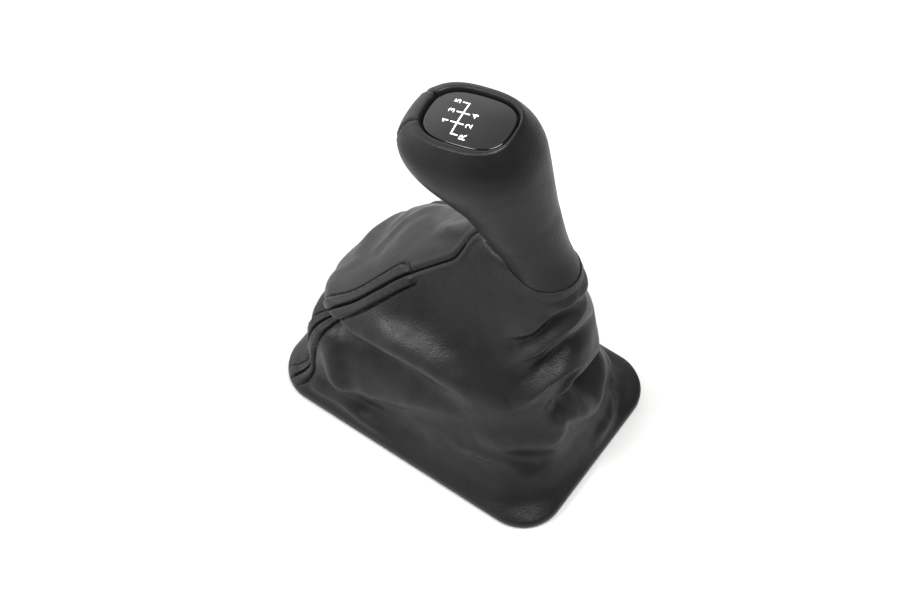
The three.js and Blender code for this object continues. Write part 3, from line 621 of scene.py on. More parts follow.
def dress(piece: bpy.types.Object, *finishes: bpy.types.Material) -> None:
    """Gives a piece its materials in place of what it had.

    Args:
        piece: Piece to dress.
        finishes: Its materials, in the order of their slots.
    """
    piece.data.materials.clear()
    for finish in finishes:
        piece.data.materials.append(finish)


def settle(piece: bpy.types.Object, replaced: str) -> None:
    """Makes a piece ride on the part, hides the node that it replaces and logs its face count.

    Args:
        piece: The finished piece.
        replaced: Name of the node that it replaces.
    """
    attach(piece, BODY)
    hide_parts(replaced)
    log.info("%s: %d faces", piece.name, len(piece.data.polygons))


# The knob's place and the neck that the gaiter is tied to


@dataclass(frozen=True)
class KnobStand:
    """Where the knob stands, how it leans, and the line of its neck."""

    height: float = 193.5
    forward: float = -2.3
    turn: float = 8.0
    nod: float = 9.0
    neck_top_depth: float = 52.0
    neck_top_rear: float = 14.8
    neck_lean: float = 0.293
    neck_top_radius: float = 15.9
    neck_radius: float = 13.2
    neck_even_depth: float = 69.6
    neck_end: float = 84.0

    def to_part(self, points: np.ndarray) -> np.ndarray:
        """Moves points from the knob's own frame to the part's.

        Args:
            points: Points in the knob's frame.

        Returns:
            The same points in the part's frame.
        """
        turned = Matrix.Rotation(math.radians(self.turn), 3, "Z")
        nodded = Matrix.Rotation(math.radians(-self.nod), 3, "X")
        rotation = np.array(turned @ nodded)
        return points @ rotation.T + np.array([0.0, self.forward, self.height])

    def neck_centre(self, depth: np.ndarray | float) -> np.ndarray:
        """Middle of the neck at a depth under the cap's edge."""
        rear = -self.neck_top_rear - self.neck_lean * (np.asarray(depth) - self.neck_top_depth)
        return stack(np.zeros_like(rear), rear, -np.asarray(depth, float))

    def neck_ring(self, turn: np.ndarray, depth: np.ndarray | float,
                  radius: np.ndarray | float) -> np.ndarray:
        """Points on a round section square to the neck's axis, in the knob's frame.

        Args:
            turn: Angle round the neck.
            depth: Depth of the section's middle.
            radius: Radius of the section.

        Returns:
            Points of turn's shape.
        """
        angle = np.radians(turn)
        ahead = unit(np.array([0.0, 1.0, -self.neck_lean]))
        across = stack(radius * np.cos(angle), 0.0, 0.0)
        return self.neck_centre(depth) + across + (radius * np.sin(angle))[..., None] * ahead


STAND = KnobStand()


# The knob


# Outline of the 1, across and up from its middle
ONE_OUTLINE = ((0.3, -1.25), (0.3, 1.25), (-0.16, 1.25), (-0.95, 0.65), (-0.95, 0.1),
               (-0.22, 0.6), (-0.22, -1.25))
# What stands before and behind each tick of the gate, by its place along the bar in pitches
GATES = {-1.5: ("", "R"), -0.5: ("1", "2"), 0.5: ("3", "4"), 1.5: ("5", "")}


@dataclass(frozen=True)
class KnobSection:
    """One flattened oval of the knob: its depth and how far it reaches each way."""

    depth: float
    front: float
    rear: float
    side: float
    square: float

    def ring(self, turn: np.ndarray) -> np.ndarray:
        """Points of the section at each turn.

        Args:
            turn: Degrees round the knob.

        Returns:
            The points in the knob's frame.
        """
        cos, sin = np.cos(np.radians(turn)), np.sin(np.radians(turn))
        power = 2 / self.square
        x = self.side * np.sign(cos) * np.abs(cos) ** power
        reach, middle = (self.front + self.rear) / 2, (self.front - self.rear) / 2
        y = middle + reach * np.sign(sin) * np.abs(sin) ** power
        return stack(x, y, -self.depth)


@dataclass
class Knob:
    """The leather covered knob with its cap and its shift pattern."""

    leather: float = 1.0
    clearance: float = 0.3
    # The cap, its pegs and the film of ink over it
    cap_half_length: float = 17.7
    cap_half_width: float = 12.8
    cap_square: float = 2.8
    cap_crown: float = 1.0
    cap_thick: float = 2.6
    cap_gap: float = 0.4
    cap_edge: float = 0.8
    cap_step: float = 2.0
    crown_rings: int = 16
    crown_hub: float = 0.08
    film_step: float = 4.0
    film_rings: int = 14
    film_edge: float = 0.98
    film_hub: float = 0.06
    peg_radius: float = 1.6
    peg_length: float = 5.0
    peg_spacing: float = 20.0
    # The leather's lip round the cap
    lip_roll: float = 1.2
    lip_rise: float = 1.2
    lip_start: float = 0.4
    lip_flat: float = 0.35
    lip_rows: int = 7
    tuck_depths: tuple[float, ...] = (0.8, 1.5, 2.6)
    blend_rows: int = 6
    blend_times: int = 3
    # The two seams beside the front strip
    strip_top_turn: float = 22.0
    strip_neck_turn: float = 29.0
    seam_depth: float = 0.8
    seam_width: float = 0.6
    pucker: float = 0.16
    pucker_pitch: float = 3.4
    pucker_reach: float = 3.2
    pucker_low: float = 0.25
    pucker_from: float = 0.55
    pucker_full: float = 0.9
    welt: float = 0.12
    welt_place: float = 1.8
    welt_width: float = 1.2
    tail_rows: int = 4
    # The shift pattern
    pattern_forward: float = 3.4
    pattern_right: float = -1.1
    gate_pitch: float = 5.1
    gate_reach: float = 2.5
    line: float = 0.56
    digit_height: float = 2.5
    digit_width: float = 1.35
    digit_gap: float = 0.9
    ink_spread: float = 0.006
    mark_reach: float = 3.0
    print_rise: float = 0.03
    print_thick: float = 0.05
    # The leather's grid, and the ovals that it runs over from the top down
    rows: int = 120
    cover_columns: int = 241
    strip_columns: int = 61
    sections: tuple[KnobSection, ...] = (
        KnobSection(-0.9, 21.6, 19.8, 16.2, 2.7),
        KnobSection(1.0, 24.0, 21.0, 17.6, 2.65),
        KnobSection(4.0, 26.6, 22.6, 19.5, 2.6),
        KnobSection(9.0, 29.0, 25.0, 21.8, 2.5),
        KnobSection(15.0, 28.5, 27.0, 22.7, 2.4),
        KnobSection(22.0, 25.0, 28.0, 21.9, 2.3),
        KnobSection(30.0, 18.5, 28.8, 19.8, 2.2),
        KnobSection(40.0, 9.2, 29.5, 17.4, 2.1),
    )

    @property
    def last_level(self) -> int:
        """Level of the neck's end, counted in rings down from the head's top."""
        return len(self.sections) + 2

    def cap_ring(self, turn: np.ndarray, grow: float, depth: float) -> np.ndarray:
        """Outline of the cap.

        Args:
            turn: Degrees round the knob.
            grow: How far outside the cap's own outline it runs.
            depth: Its depth under the cap's edge.

        Returns:
            The points in the knob's frame.
        """
        half_length = self.cap_half_length + grow
        return KnobSection(depth, half_length, half_length, self.cap_half_width + grow,
                           self.cap_square).ring(turn)

    def surface(self, turn: np.ndarray, level: np.ndarray) -> np.ndarray:
        """The knob's leather face.

        Args:
            turn: Degrees round the knob.
            level: Level of each point, from 0 at the lip to the last at the neck's end.

        Returns:
            The points in the knob's frame.
        """
        rings = [section.ring(turn) for section in self.sections]
        for depth, radius in (
            (STAND.neck_top_depth, STAND.neck_top_radius),
            (STAND.neck_even_depth, STAND.neck_radius),
            (STAND.neck_end, STAND.neck_radius),
        ):
            rings.append(STAND.neck_ring(turn, depth, radius))
        return along_spline(rings, level)

    def neck_reach(self, turn: np.ndarray, depth: np.ndarray) -> np.ndarray:
        """Distance of the neck's leather from its axis.

        Args:
            turn: Angles round the neck.
            depth: The depth that is asked for at each turn.

        Returns:
            One distance for each turn.
        """
        levels = np.linspace(self.last_level - 3.0, self.last_level, 61)
        turns = np.broadcast_to(turn, (len(levels), len(turn)))
        face = self.surface(turns, np.broadcast_to(levels[:, None], turns.shape))
        top = STAND.neck_centre(STAND.neck_top_depth)
        axis = STAND.neck_centre(STAND.neck_top_depth + 1.0) - top
        deep = (face - top) @ axis / (axis @ axis)
        away = np.linalg.norm(face - top - deep[..., None] * axis, axis=-1)
        deep += STAND.neck_top_depth
        return np.array([np.interp(depth[i], deep[:, i], away[:, i]) for i in range(len(turn))])

    def strip_half(self) -> np.ndarray:
        """Half the turn that the front strip covers, on each row from the neck's end up."""
        share = np.linspace(1.0, 0.0, self.rows + 1)
        return self.strip_top_turn + (self.strip_neck_turn - self.strip_top_turn) * share

    def lip_and_tuck(self, turn: np.ndarray) -> np.ndarray:
        """Rows of the lip that rolls in round the cap, and of the edge tucked down beside it.

        Args:
            turn: Degrees round the knob.

        Returns:
            The points, row by row from the lip down to the tucked edge.
        """
        quarter = math.pi / 2
        rows = []
        for share in np.linspace(1.0, 0.0, self.lip_rows + 1)[:-1]:
            out = self.lip_roll * math.sin(share * quarter)
            up = math.sin(quarter * (self.lip_flat + (1 - self.lip_flat) * share))
            depth = self.lip_start - (self.lip_rise + self.lip_start) * up
            rows.append(self.cap_ring(turn, self.cap_gap + out, depth))
        rows += [self.cap_ring(turn, self.cap_gap, depth) for depth in self.tuck_depths]
        return np.stack(rows)

    def leather_grid(self, low: np.ndarray, high: np.ndarray, columns: int) -> np.ndarray:
        """Outer face of one part of the knob's leather.

        Args:
            low: Turn of its first edge on each row from the neck's end up.
            high: Turn of its last edge on each row.
            columns: How many columns it has.

        Returns:
            Points in the part's frame, rows from the neck's end up to the cap's side.
        """
        levels = np.linspace(self.last_level, 0.0, self.rows + 1)
        turns = low[:, None] + (high - low)[:, None] * np.linspace(0.0, 1.0, columns)[None, :]
        face = self.surface(turns, np.broadcast_to(levels[:, None], turns.shape))
        grid = np.concatenate([face, self.lip_and_tuck(turns[-1])])
        band = slice(self.rows - self.blend_rows, self.rows + self.blend_rows + 1)
        for _ in range(self.blend_times):
            middle = (grid[:-2] + grid[2:]) / 2
            grid[1:-1][band] = 0.5 * grid[1:-1][band] + 0.5 * middle[band]
        across, up = walked(grid, 1), walked(grid, 0)
        outward = grid_normals(grid)
        beat = 0.5 + 0.5 * np.cos(2 * math.pi * up / self.pucker_pitch)
        near_top = smooth_step(up / up[-1:], self.pucker_from, self.pucker_full)
        drawn = self.pucker * beat * (self.pucker_low + (1 - self.pucker_low) * near_top)
        rise = np.zeros(grid.shape[:2])
        for distance in (across, across[:, -1:] - across):
            rise -= self.seam_depth * np.exp(-(distance / self.seam_width) ** 2)
            rise -= drawn * np.exp(-(distance / self.pucker_reach) ** 2)
            rise += self.welt * np.exp(-((distance - self.welt_place) / self.welt_width) ** 2)
        end = len(grid) - 1
        rise *= smooth_step(np.arange(end + 1)[:, None], end, end - self.tail_rows)
        grid = grid + rise[..., None] * outward
        part_edges(grid, self.clearance)
        return STAND.to_part(odd_rows(grid))

    def build_leather(self) -> None:
        """Makes the two sewn parts of the knob's leather cover."""
        leather, back = KNOB_LEATHER.material(), FleshSide().material()
        half = self.strip_half()
        for panel, low, high, columns in (
            (KNOB_COVER, 90.0 + half, 450.0 - half, self.cover_columns),
            (KNOB_STRIP, 90.0 - half, 90.0 + half, self.strip_columns),
        ):
            grid = self.leather_grid(low, high, columns)
            piece = leather_sheet(panel.piece, grid, np.full(len(grid), self.leather))
            dress(piece, leather, back)
            settle(piece, panel.node)

    def crown(self, turn: np.ndarray, share: float, rise: float) -> np.ndarray:
        """Ring on the cap's crowned top.

        Args:
            turn: Degrees round the knob.
            share: How far out the ring lies, 1 at the crown's edge.
            rise: How far above the crown it lies.

        Returns:
            The points in the knob's frame.
        """
        inside = 1 - self.cap_edge / self.cap_half_width
        ring = self.cap_ring(turn, 0.0, 0.0) * share * inside
        ring[..., 2] = self.cap_crown * (1 - share**2) + rise
        return ring

    def peg(self, turn: np.ndarray, forward: float) -> tuple[np.ndarray, list[tuple[int, ...]]]:
        """One peg under the cap.

        Args:
            turn: Degrees round the peg.
            forward: How far in front of the cap's middle it stands.

        Returns:
            The peg's vertices and faces.
        """
        around = np.radians(turn)
        ring = self.peg_radius * stack(np.cos(around), np.sin(around), 0.0)
        ring[:, 1] += forward
        ends = (self.cap_thick + self.peg_length, self.cap_thick)
        return ring_body([ring + [0.0, 0.0, -depth] for depth in ends])

    def build_cap(self) -> None:
        """Makes the cap: a crowned plate with a rounded edge and two pegs under it."""
        turn = np.arange(0.0, 360.0, self.cap_step)
        rings = [self.cap_ring(turn, 0.0, self.cap_thick), self.cap_ring(turn, 0.0, self.cap_edge)]
        for angle in np.radians(np.linspace(15.0, 75.0, 4)):
            rings.append(self.cap_ring(turn, -self.cap_edge * (1 - math.cos(angle)),
                                       self.cap_edge * (1 - math.sin(angle))))
        shares = np.linspace(1.0, self.crown_hub, self.crown_rings)
        rings += [self.crown(turn, share, 0.0) for share in shares]
        pegs = [self.peg(turn[::12], sign * self.peg_spacing / 2) for sign in (1, -1)]
        points, faces = joined([ring_body(rings), *pegs])
        piece = mesh_object("knob_cap_gloss", STAND.to_part(points), faces, crease=40.0)
        dress(piece, CAP_ACRYLIC.material())
        settle(piece, "knob_cap")

    def ink_film(self) -> bpy.types.Object:
        """A thin film over the whole crown, from which each printed mark is cut.

        Returns:
            The film's object.
        """
        turn = np.arange(0.0, 360.0, self.film_step)
        shares = np.linspace(self.film_edge, self.film_hub, self.film_rings)
        low = [self.crown(turn, share, self.print_rise) for share in shares[::-1]]
        high = [self.crown(turn, share, self.print_rise + self.print_thick) for share in shares]
        points, faces = ring_body(low + high)
        return mesh_object("ink_film", points, faces, scale=1.0)

    def tall_body(self, name: str, outline: np.ndarray) -> bpy.types.Object:
        """A body tall enough to pass through the ink film.

        Args:
            name: Name of the object.
            outline: The body's outline on the pattern.

        Returns:
            The body's object.
        """
        placed = outline + [self.pattern_right, self.pattern_forward]
        points, faces = ring_body([np.column_stack([placed, np.full(len(placed), height)])
                                   for height in (-self.mark_reach, self.mark_reach)])
        return mesh_object(name, points, faces, scale=1.0)

    def block(self, name: str, low: tuple[float, float], high: tuple[float, float]) -> bpy.types.Object:
        """A tall body over a rectangle of the pattern."""
        return self.tall_body(name, np.array([low, (high[0], low[1]), high, (low[0], high[1])]))

    def print_mark(self, mark: bpy.types.Object, name: str, node: str,
                   ink: bpy.types.Material) -> None:
        """Trims a mark to the ink film and sets it on the cap.

        Args:
            mark: The mark as a tall body in the knob's frame.
            name: Name of the finished piece.
            node: The node that it replaces.
            ink: Its material.
        """
        apply_boolean(mark, self.ink_film(), Cut.INTERSECT)
        mark.name = name
        points = np.array([vertex.co for vertex in mark.data.vertices])
        placed = STAND.to_part(points) * MM
        mark.data.vertices.foreach_set("co", placed.astype(np.float32).ravel())
        mark.data.polygons.foreach_set("use_smooth", [False] * len(mark.data.polygons))
        mark.data.update()
        dress(mark, ink)
        settle(mark, node)

    def build_print(self) -> None:
        """Prints the gate and the numbers of the gears on the cap."""
        ink = PAD_INK.material()
        half, pitch, reach = self.line / 2, self.gate_pitch, self.gate_reach
        end = max(GATES) * pitch + half
        bar = self.block("bar", (-end, -half), (end, half))
        away = reach + half + self.digit_gap + self.digit_height / 2
        for place, (front, rear) in GATES.items():
            x = place * pitch
            top = reach + half if front else 0.0
            bottom = -reach - half if rear else 0.0
            apply_boolean(bar, self.block("tick", (x - half, bottom), (x + half, top)), Cut.UNION)
            for digit, y in ((front, away), (rear, -away)):
                if digit == "1":
                    mark = self.tall_body("digit", np.array(ONE_OUTLINE) + [x, y])
                elif digit:
                    mark = self.digit_body(digit, x, y)
                else:
                    continue
                self.print_mark(mark, f"printed_{digit}", f"gate_label_{digit}", ink)
        self.print_mark(bar, "printed_gate", "gate_lines", ink)

    def digit_body(self, digit: str, x: float, y: float) -> bpy.types.Object:
        """One digit as a tall body.

        Args:
            digit: The digit or letter.
            x: Place of its middle across the pattern.
            y: Place of its middle along the pattern.

        Returns:
            The body, in the knob's frame and in millimetres.
        """
        curve = bpy.data.curves.new("digit", "FONT")
        curve.body = digit
        curve.extrude = self.mark_reach
        curve.offset = self.ink_spread
        carrier = bpy.data.objects.new("digit_curve", curve)
        bpy.context.scene.collection.objects.link(carrier)
        bpy.context.view_layer.update()
        evaluated = carrier.evaluated_get(bpy.context.evaluated_depsgraph_get())
        mesh = bpy.data.meshes.new_from_object(evaluated)
        bpy.data.objects.remove(carrier)
        shape = bmesh.new()
        shape.from_mesh(mesh)
        bmesh.ops.remove_doubles(shape, verts=shape.verts, dist=1e-4)
        bmesh.ops.recalc_face_normals(shape, faces=shape.faces)
        shape.to_mesh(mesh)
        shape.free()
        points = np.array([vertex.co for vertex in mesh.vertices])
        low, high = points.min(0), points.max(0)
        scale = self.digit_height / (high[1] - low[1])
        points[:, :2] = (points[:, :2] - (low[:2] + high[:2]) / 2) * scale
        points[:, 0] *= self.digit_width
        points += [x + self.pattern_right, y + self.pattern_forward, 0.0]
        mesh.vertices.foreach_set("co", points.astype(np.float32).ravel())
        mesh.update()
        piece = bpy.data.objects.new("digit", mesh)
        bpy.context.scene.collection.objects.link(piece)
        return piece


# The gaiter


@dataclass(frozen=True)
class Section:
    """One level outline of the gaiter, a rectangle with round corners or nearer an oval."""

    side: float
    front: float
    rear: float
    front_height: float
    rear_height: float
    front_round: float
    rear_round: float
    corner: float
    right: float = 0.0
    forward: float = 0.0


@dataclass(frozen=True)
class SkirtLevel:
    """An outline of the skirt: how far in from the base, how high, how shifted and how round."""

    side: float
    front: float
    rear: float
    front_height: float
    rear_height: float
    right: float
    front_round: float
    rear_round: float


@dataclass(frozen=True)
class ShoulderLevel:
    """An outline over the skirt: how far out from the mouth, how far below it and how round."""

    side: float
    front: float
    rear: float
    front_drop: float
    rear_drop: float
    front_round: float
    rear_round: float


class Seam(Enum):
    """A corner seam as a panel meets it on a walk from the right side through the front."""

    RIGHT = "right"
    LEFT = "left"
    RIGHT_AGAIN = "right, after a whole turn"


@dataclass(frozen=True)
class Fold:
    """A ridge, or a valley where its height is negative, along a path on the gaiter.

    Each stop on the path gives a turn round the gaiter, a level counted up
    from the base and the fold's height there. The widths are those of its slopes to the
    left and to the right of the path, which are above and below where the turn grows.
    A power under 2 makes its crest sharper.
    """

    stops: tuple[tuple[float, float, float], ...]
    above: float
    below: float
    power: float = 2.0


def rectangle_points(turn: np.ndarray, half_length: float, half_width: float,
                     corner: float) -> np.ndarray:
    """Outline of a rectangle with round corners, each corner's middle at 45 degrees.

    Args:
        turn: Angle from the right side through the front.
        half_length: Half of its length, front to rear.
        half_width: Half of its width.
        corner: Radius of its corners.

    Returns:
        Points at height 0.
    """
    whole = np.mod(turn, 360.0)
    quarter = np.floor(whole / 90.0)
    in_quarter = np.where(quarter % 2 == 0, whole - quarter * 90, (quarter + 1) * 90 - whole)
    mirror_x = np.where((quarter == 1) | (quarter == 2), -1.0, 1.0)
    mirror_y = np.where(quarter >= 2, -1.0, 1.0)
    half_arc = corner * math.pi / 4
    straight_side, straight_end = half_length - corner, half_width - corner
    up_side = in_quarter / 45.0 * (straight_side + half_arc)
    side_angle = np.maximum(0.0, (up_side - straight_side) / corner)
    along_end = (90.0 - in_quarter) / 45.0 * (straight_end + half_arc)
    end_angle = np.maximum(0.0, (along_end - straight_end) / corner)
    on_side = in_quarter <= 45.0
    x = np.where(on_side, straight_end + corner * np.cos(side_angle),
                 np.minimum(along_end, straight_end) + corner * np.sin(end_angle))
    y = np.where(on_side, np.minimum(up_side, straight_side) + corner * np.sin(side_angle),
                 straight_side + corner * np.cos(end_angle))
    return stack(mirror_x * x, mirror_y * y, 0.0)


# Folds, in the order of a walk from the left front corner round the left side,
# the rear and the right side to the front panel
LEFT_SIDE_FOLDS = (
    Fold(((112, 2.9, -2.5), (124, 2.95, -6.0), (136, 2.9, -8.0), (143, 3.05, -7.0),
          (148, 3.2, -5.0)), 3.4, 6.0, 1.7),
    Fold(((118, 2.2, -2.0), (130, 1.7, -4.5), (136, 1.2, -3.5), (140, 0.8, -1.0)), 7.0, 7.0),
    Fold(((118, 3.4, 1.2), (130, 3.5, 2.6), (141, 3.56, 3.2), (147, 3.54, 3.6), (156, 3.78, 4.6),
          (168, 3.94, 4.8), (177, 4.0, 4.4), (186, 4.0, 3.4), (199, 3.9, 1.2)), 9.0, 6.0),
    Fold(((146, 3.0, -4.0), (155, 3.08, -4.5), (162, 3.16, -4.2), (172, 3.2, -3.4),
          (184, 3.3, -2.2), (196, 3.3, -0.6)), 4.6, 8.0),
    Fold(((145, 2.55, 2.0), (148, 2.2, 3.8), (151, 1.85, 4.4), (154, 1.55, 3.8), (157, 1.28, 2.0)),
         5.0, 6.5),
    Fold(((151, 1.6, 1.4), (161, 1.75, 2.6), (168, 1.95, 2.8), (184, 2.5, 2.3), (200, 3.05, 0.8)),
         9.0, 5.5),
    Fold(((150, 1.15, -1.4), (165, 1.2, -2.0), (185, 1.4, -1.2)), 5.0, 6.0),
    Fold(((112, 0.8, -0.8), (122, 0.85, -1.4), (134, 0.85, -1.6), (145, 0.8, -0.6)), 7.0, 5.0),
    Fold(((141, 0.62, 1.2), (147, 0.75, 2.4), (156, 0.86, 2.6), (166, 0.6, 1.6), (174, 0.5, 0.4)),
         5.0, 3.6),
)
REAR_FOLDS = (
    Fold(((200, 5.5, 0.4), (207, 5.8, 2.1), (213, 6.08, 3.1), (222, 6.68, 3.4), (235, 7.24, 2.6),
          (250, 7.4, 1.8), (256, 7.36, 0.8)), 8.0, 2.4, 1.35),
    Fold(((208, 5.45, -1.0), (215, 5.72, -2.6), (224, 6.16, -3.4), (235, 6.68, -2.9),
          (250, 7.0, -1.3)), 2.6, 4.5),
    Fold(((206, 4.75, 0.4), (213, 5.1, 2.1), (220, 5.44, 3.2), (234, 6.0, 3.9), (259, 6.4, 3.6),
          (284, 6.6, 2.9), (297, 6.9, 1.0)), 7.0, 2.6, 1.35),
    Fold(((218, 4.6, -1.0), (224, 4.85, -2.6), (233, 5.12, -3.9), (252, 5.48, -3.9),
          (280, 5.32, -3.1), (300, 5.0, -1.0)), 3.0, 5.0),
    Fold(((221, 4.0, 0.4), (227, 4.28, 2.6), (237, 4.64, 3.9), (255, 4.72, 4.2), (285, 4.32, 2.9),
          (306, 3.8, 0.6)), 7.0, 2.8, 1.4),
    Fold(((247, 3.92, 1.0), (254, 4.04, 2.0), (264, 4.32, 2.0), (290, 4.08, 1.6)), 2.2, 2.2),
    Fold(((249, 3.7, -3.2), (258, 3.5, -6.5), (270, 3.3, -7.8), (285, 3.0, -7.2),
          (306, 2.96, -5.2), (322, 3.0, -2.0)), 6.0, 5.0),
    Fold(((244, 2.3, 1.3), (249, 2.76, 3.9), (253, 3.04, 4.4), (266, 2.68, 4.4), (280, 2.2, 3.9),
          (292, 2.3, 3.4), (306, 2.32, 1.8)), 5.4, 7.2),
    Fold(((274, 0.8, 0.8), (281, 0.92, 2.6), (287, 0.84, 2.3), (297, 1.16, 1.3)), 3.5, 3.5),
    Fold(((208, 2.4, 0.7), (214, 2.56, 1.8), (228, 2.7, 2.5), (240, 2.5, 2.3), (251, 2.16, 1.3)),
         8.0, 6.0),
    Fold(((220, 2.1, -1.2), (227, 2.02, -2.2), (236, 1.9, -1.5)), 5.0, 6.0),
    Fold(((240, 7.5, 0.6), (258, 7.5, 1.9), (280, 7.45, 2.4), (303, 7.33, 2.6), (322, 7.17, 2.6),
          (342, 7.02, 2.3), (362, 6.95, 0.6)), 3.4, 3.8),
    Fold(((202, 1.88, 0.8), (212, 2.0, 1.4), (218, 2.04, 1.7), (223, 1.9, 1.5), (228, 1.56, 0.8)),
         4.0, 3.2),
)
RIGHT_SIDE_FOLDS = (
    Fold(((318, 2.0, 1.2), (316, 1.56, 1.6), (312, 1.28, 0.6)), 3.0, 3.0),
    Fold(((332, 0.9, -1.5), (322, 1.0, -3.5), (310, 1.1, -3.0), (298, 1.2, -1.0)), 9.0, 7.0),
    Fold(((33, 3.12, -3.0), (45, 3.0, -5.0), (58, 3.0, -4.0)), 6.5, 6.5),
    Fold(((330, 4.4, 0.6), (345, 4.1, 2.0), (368, 4.0, 2.2), (395, 3.6, 0.8)), 8.0, 5.0),
    Fold(((340, 3.5, -0.8), (370, 3.3, -2.4), (393, 3.12, -3.0)), 5.0, 8.0),
    Fold(((345, 2.4, 0.6), (365, 2.1, 2.0), (393, 1.6, 2.0)), 8.0, 6.0),
)
FRONT_FOLDS = (
    Fold(((48, 3.8, -0.4), (60, 4.2, 2.4), (78, 4.8, 3.0), (98, 5.0, 2.8), (115, 5.2, 1.2)),
         12.0, 14.0),
    Fold(((84, 3.0, 0.6), (97, 3.0, 1.5), (108, 3.02, 1.7), (119, 3.2, 1.1)), 7.0, 7.0),
    Fold(((63, 4.9, 0.8), (80, 4.6, 1.6), (97, 4.2, 0.8)), 4.0, 4.0),
    Fold(((60, 3.6, 0.8), (80, 3.4, 1.5), (104, 3.7, 0.8)), 5.0, 5.0),
    Fold(((112, 6.6, 0.6), (106, 6.2, 1.4), (103, 5.7, 0.6)), 2.5, 2.5),
    Fold(((84, 5.4, 0.5), (96, 5.9, 1.6), (104, 6.6, 0.8)), 3.0, 3.0),
)
# A fold is nothing past this many of its widths
FOLD_REACH = 3.2
# How far off its path's line, as a sine, a point takes one slope's width alone
FOLD_SIDE = 0.8
# Straight steps between two stops of a fold's path
FOLD_STEPS = 6


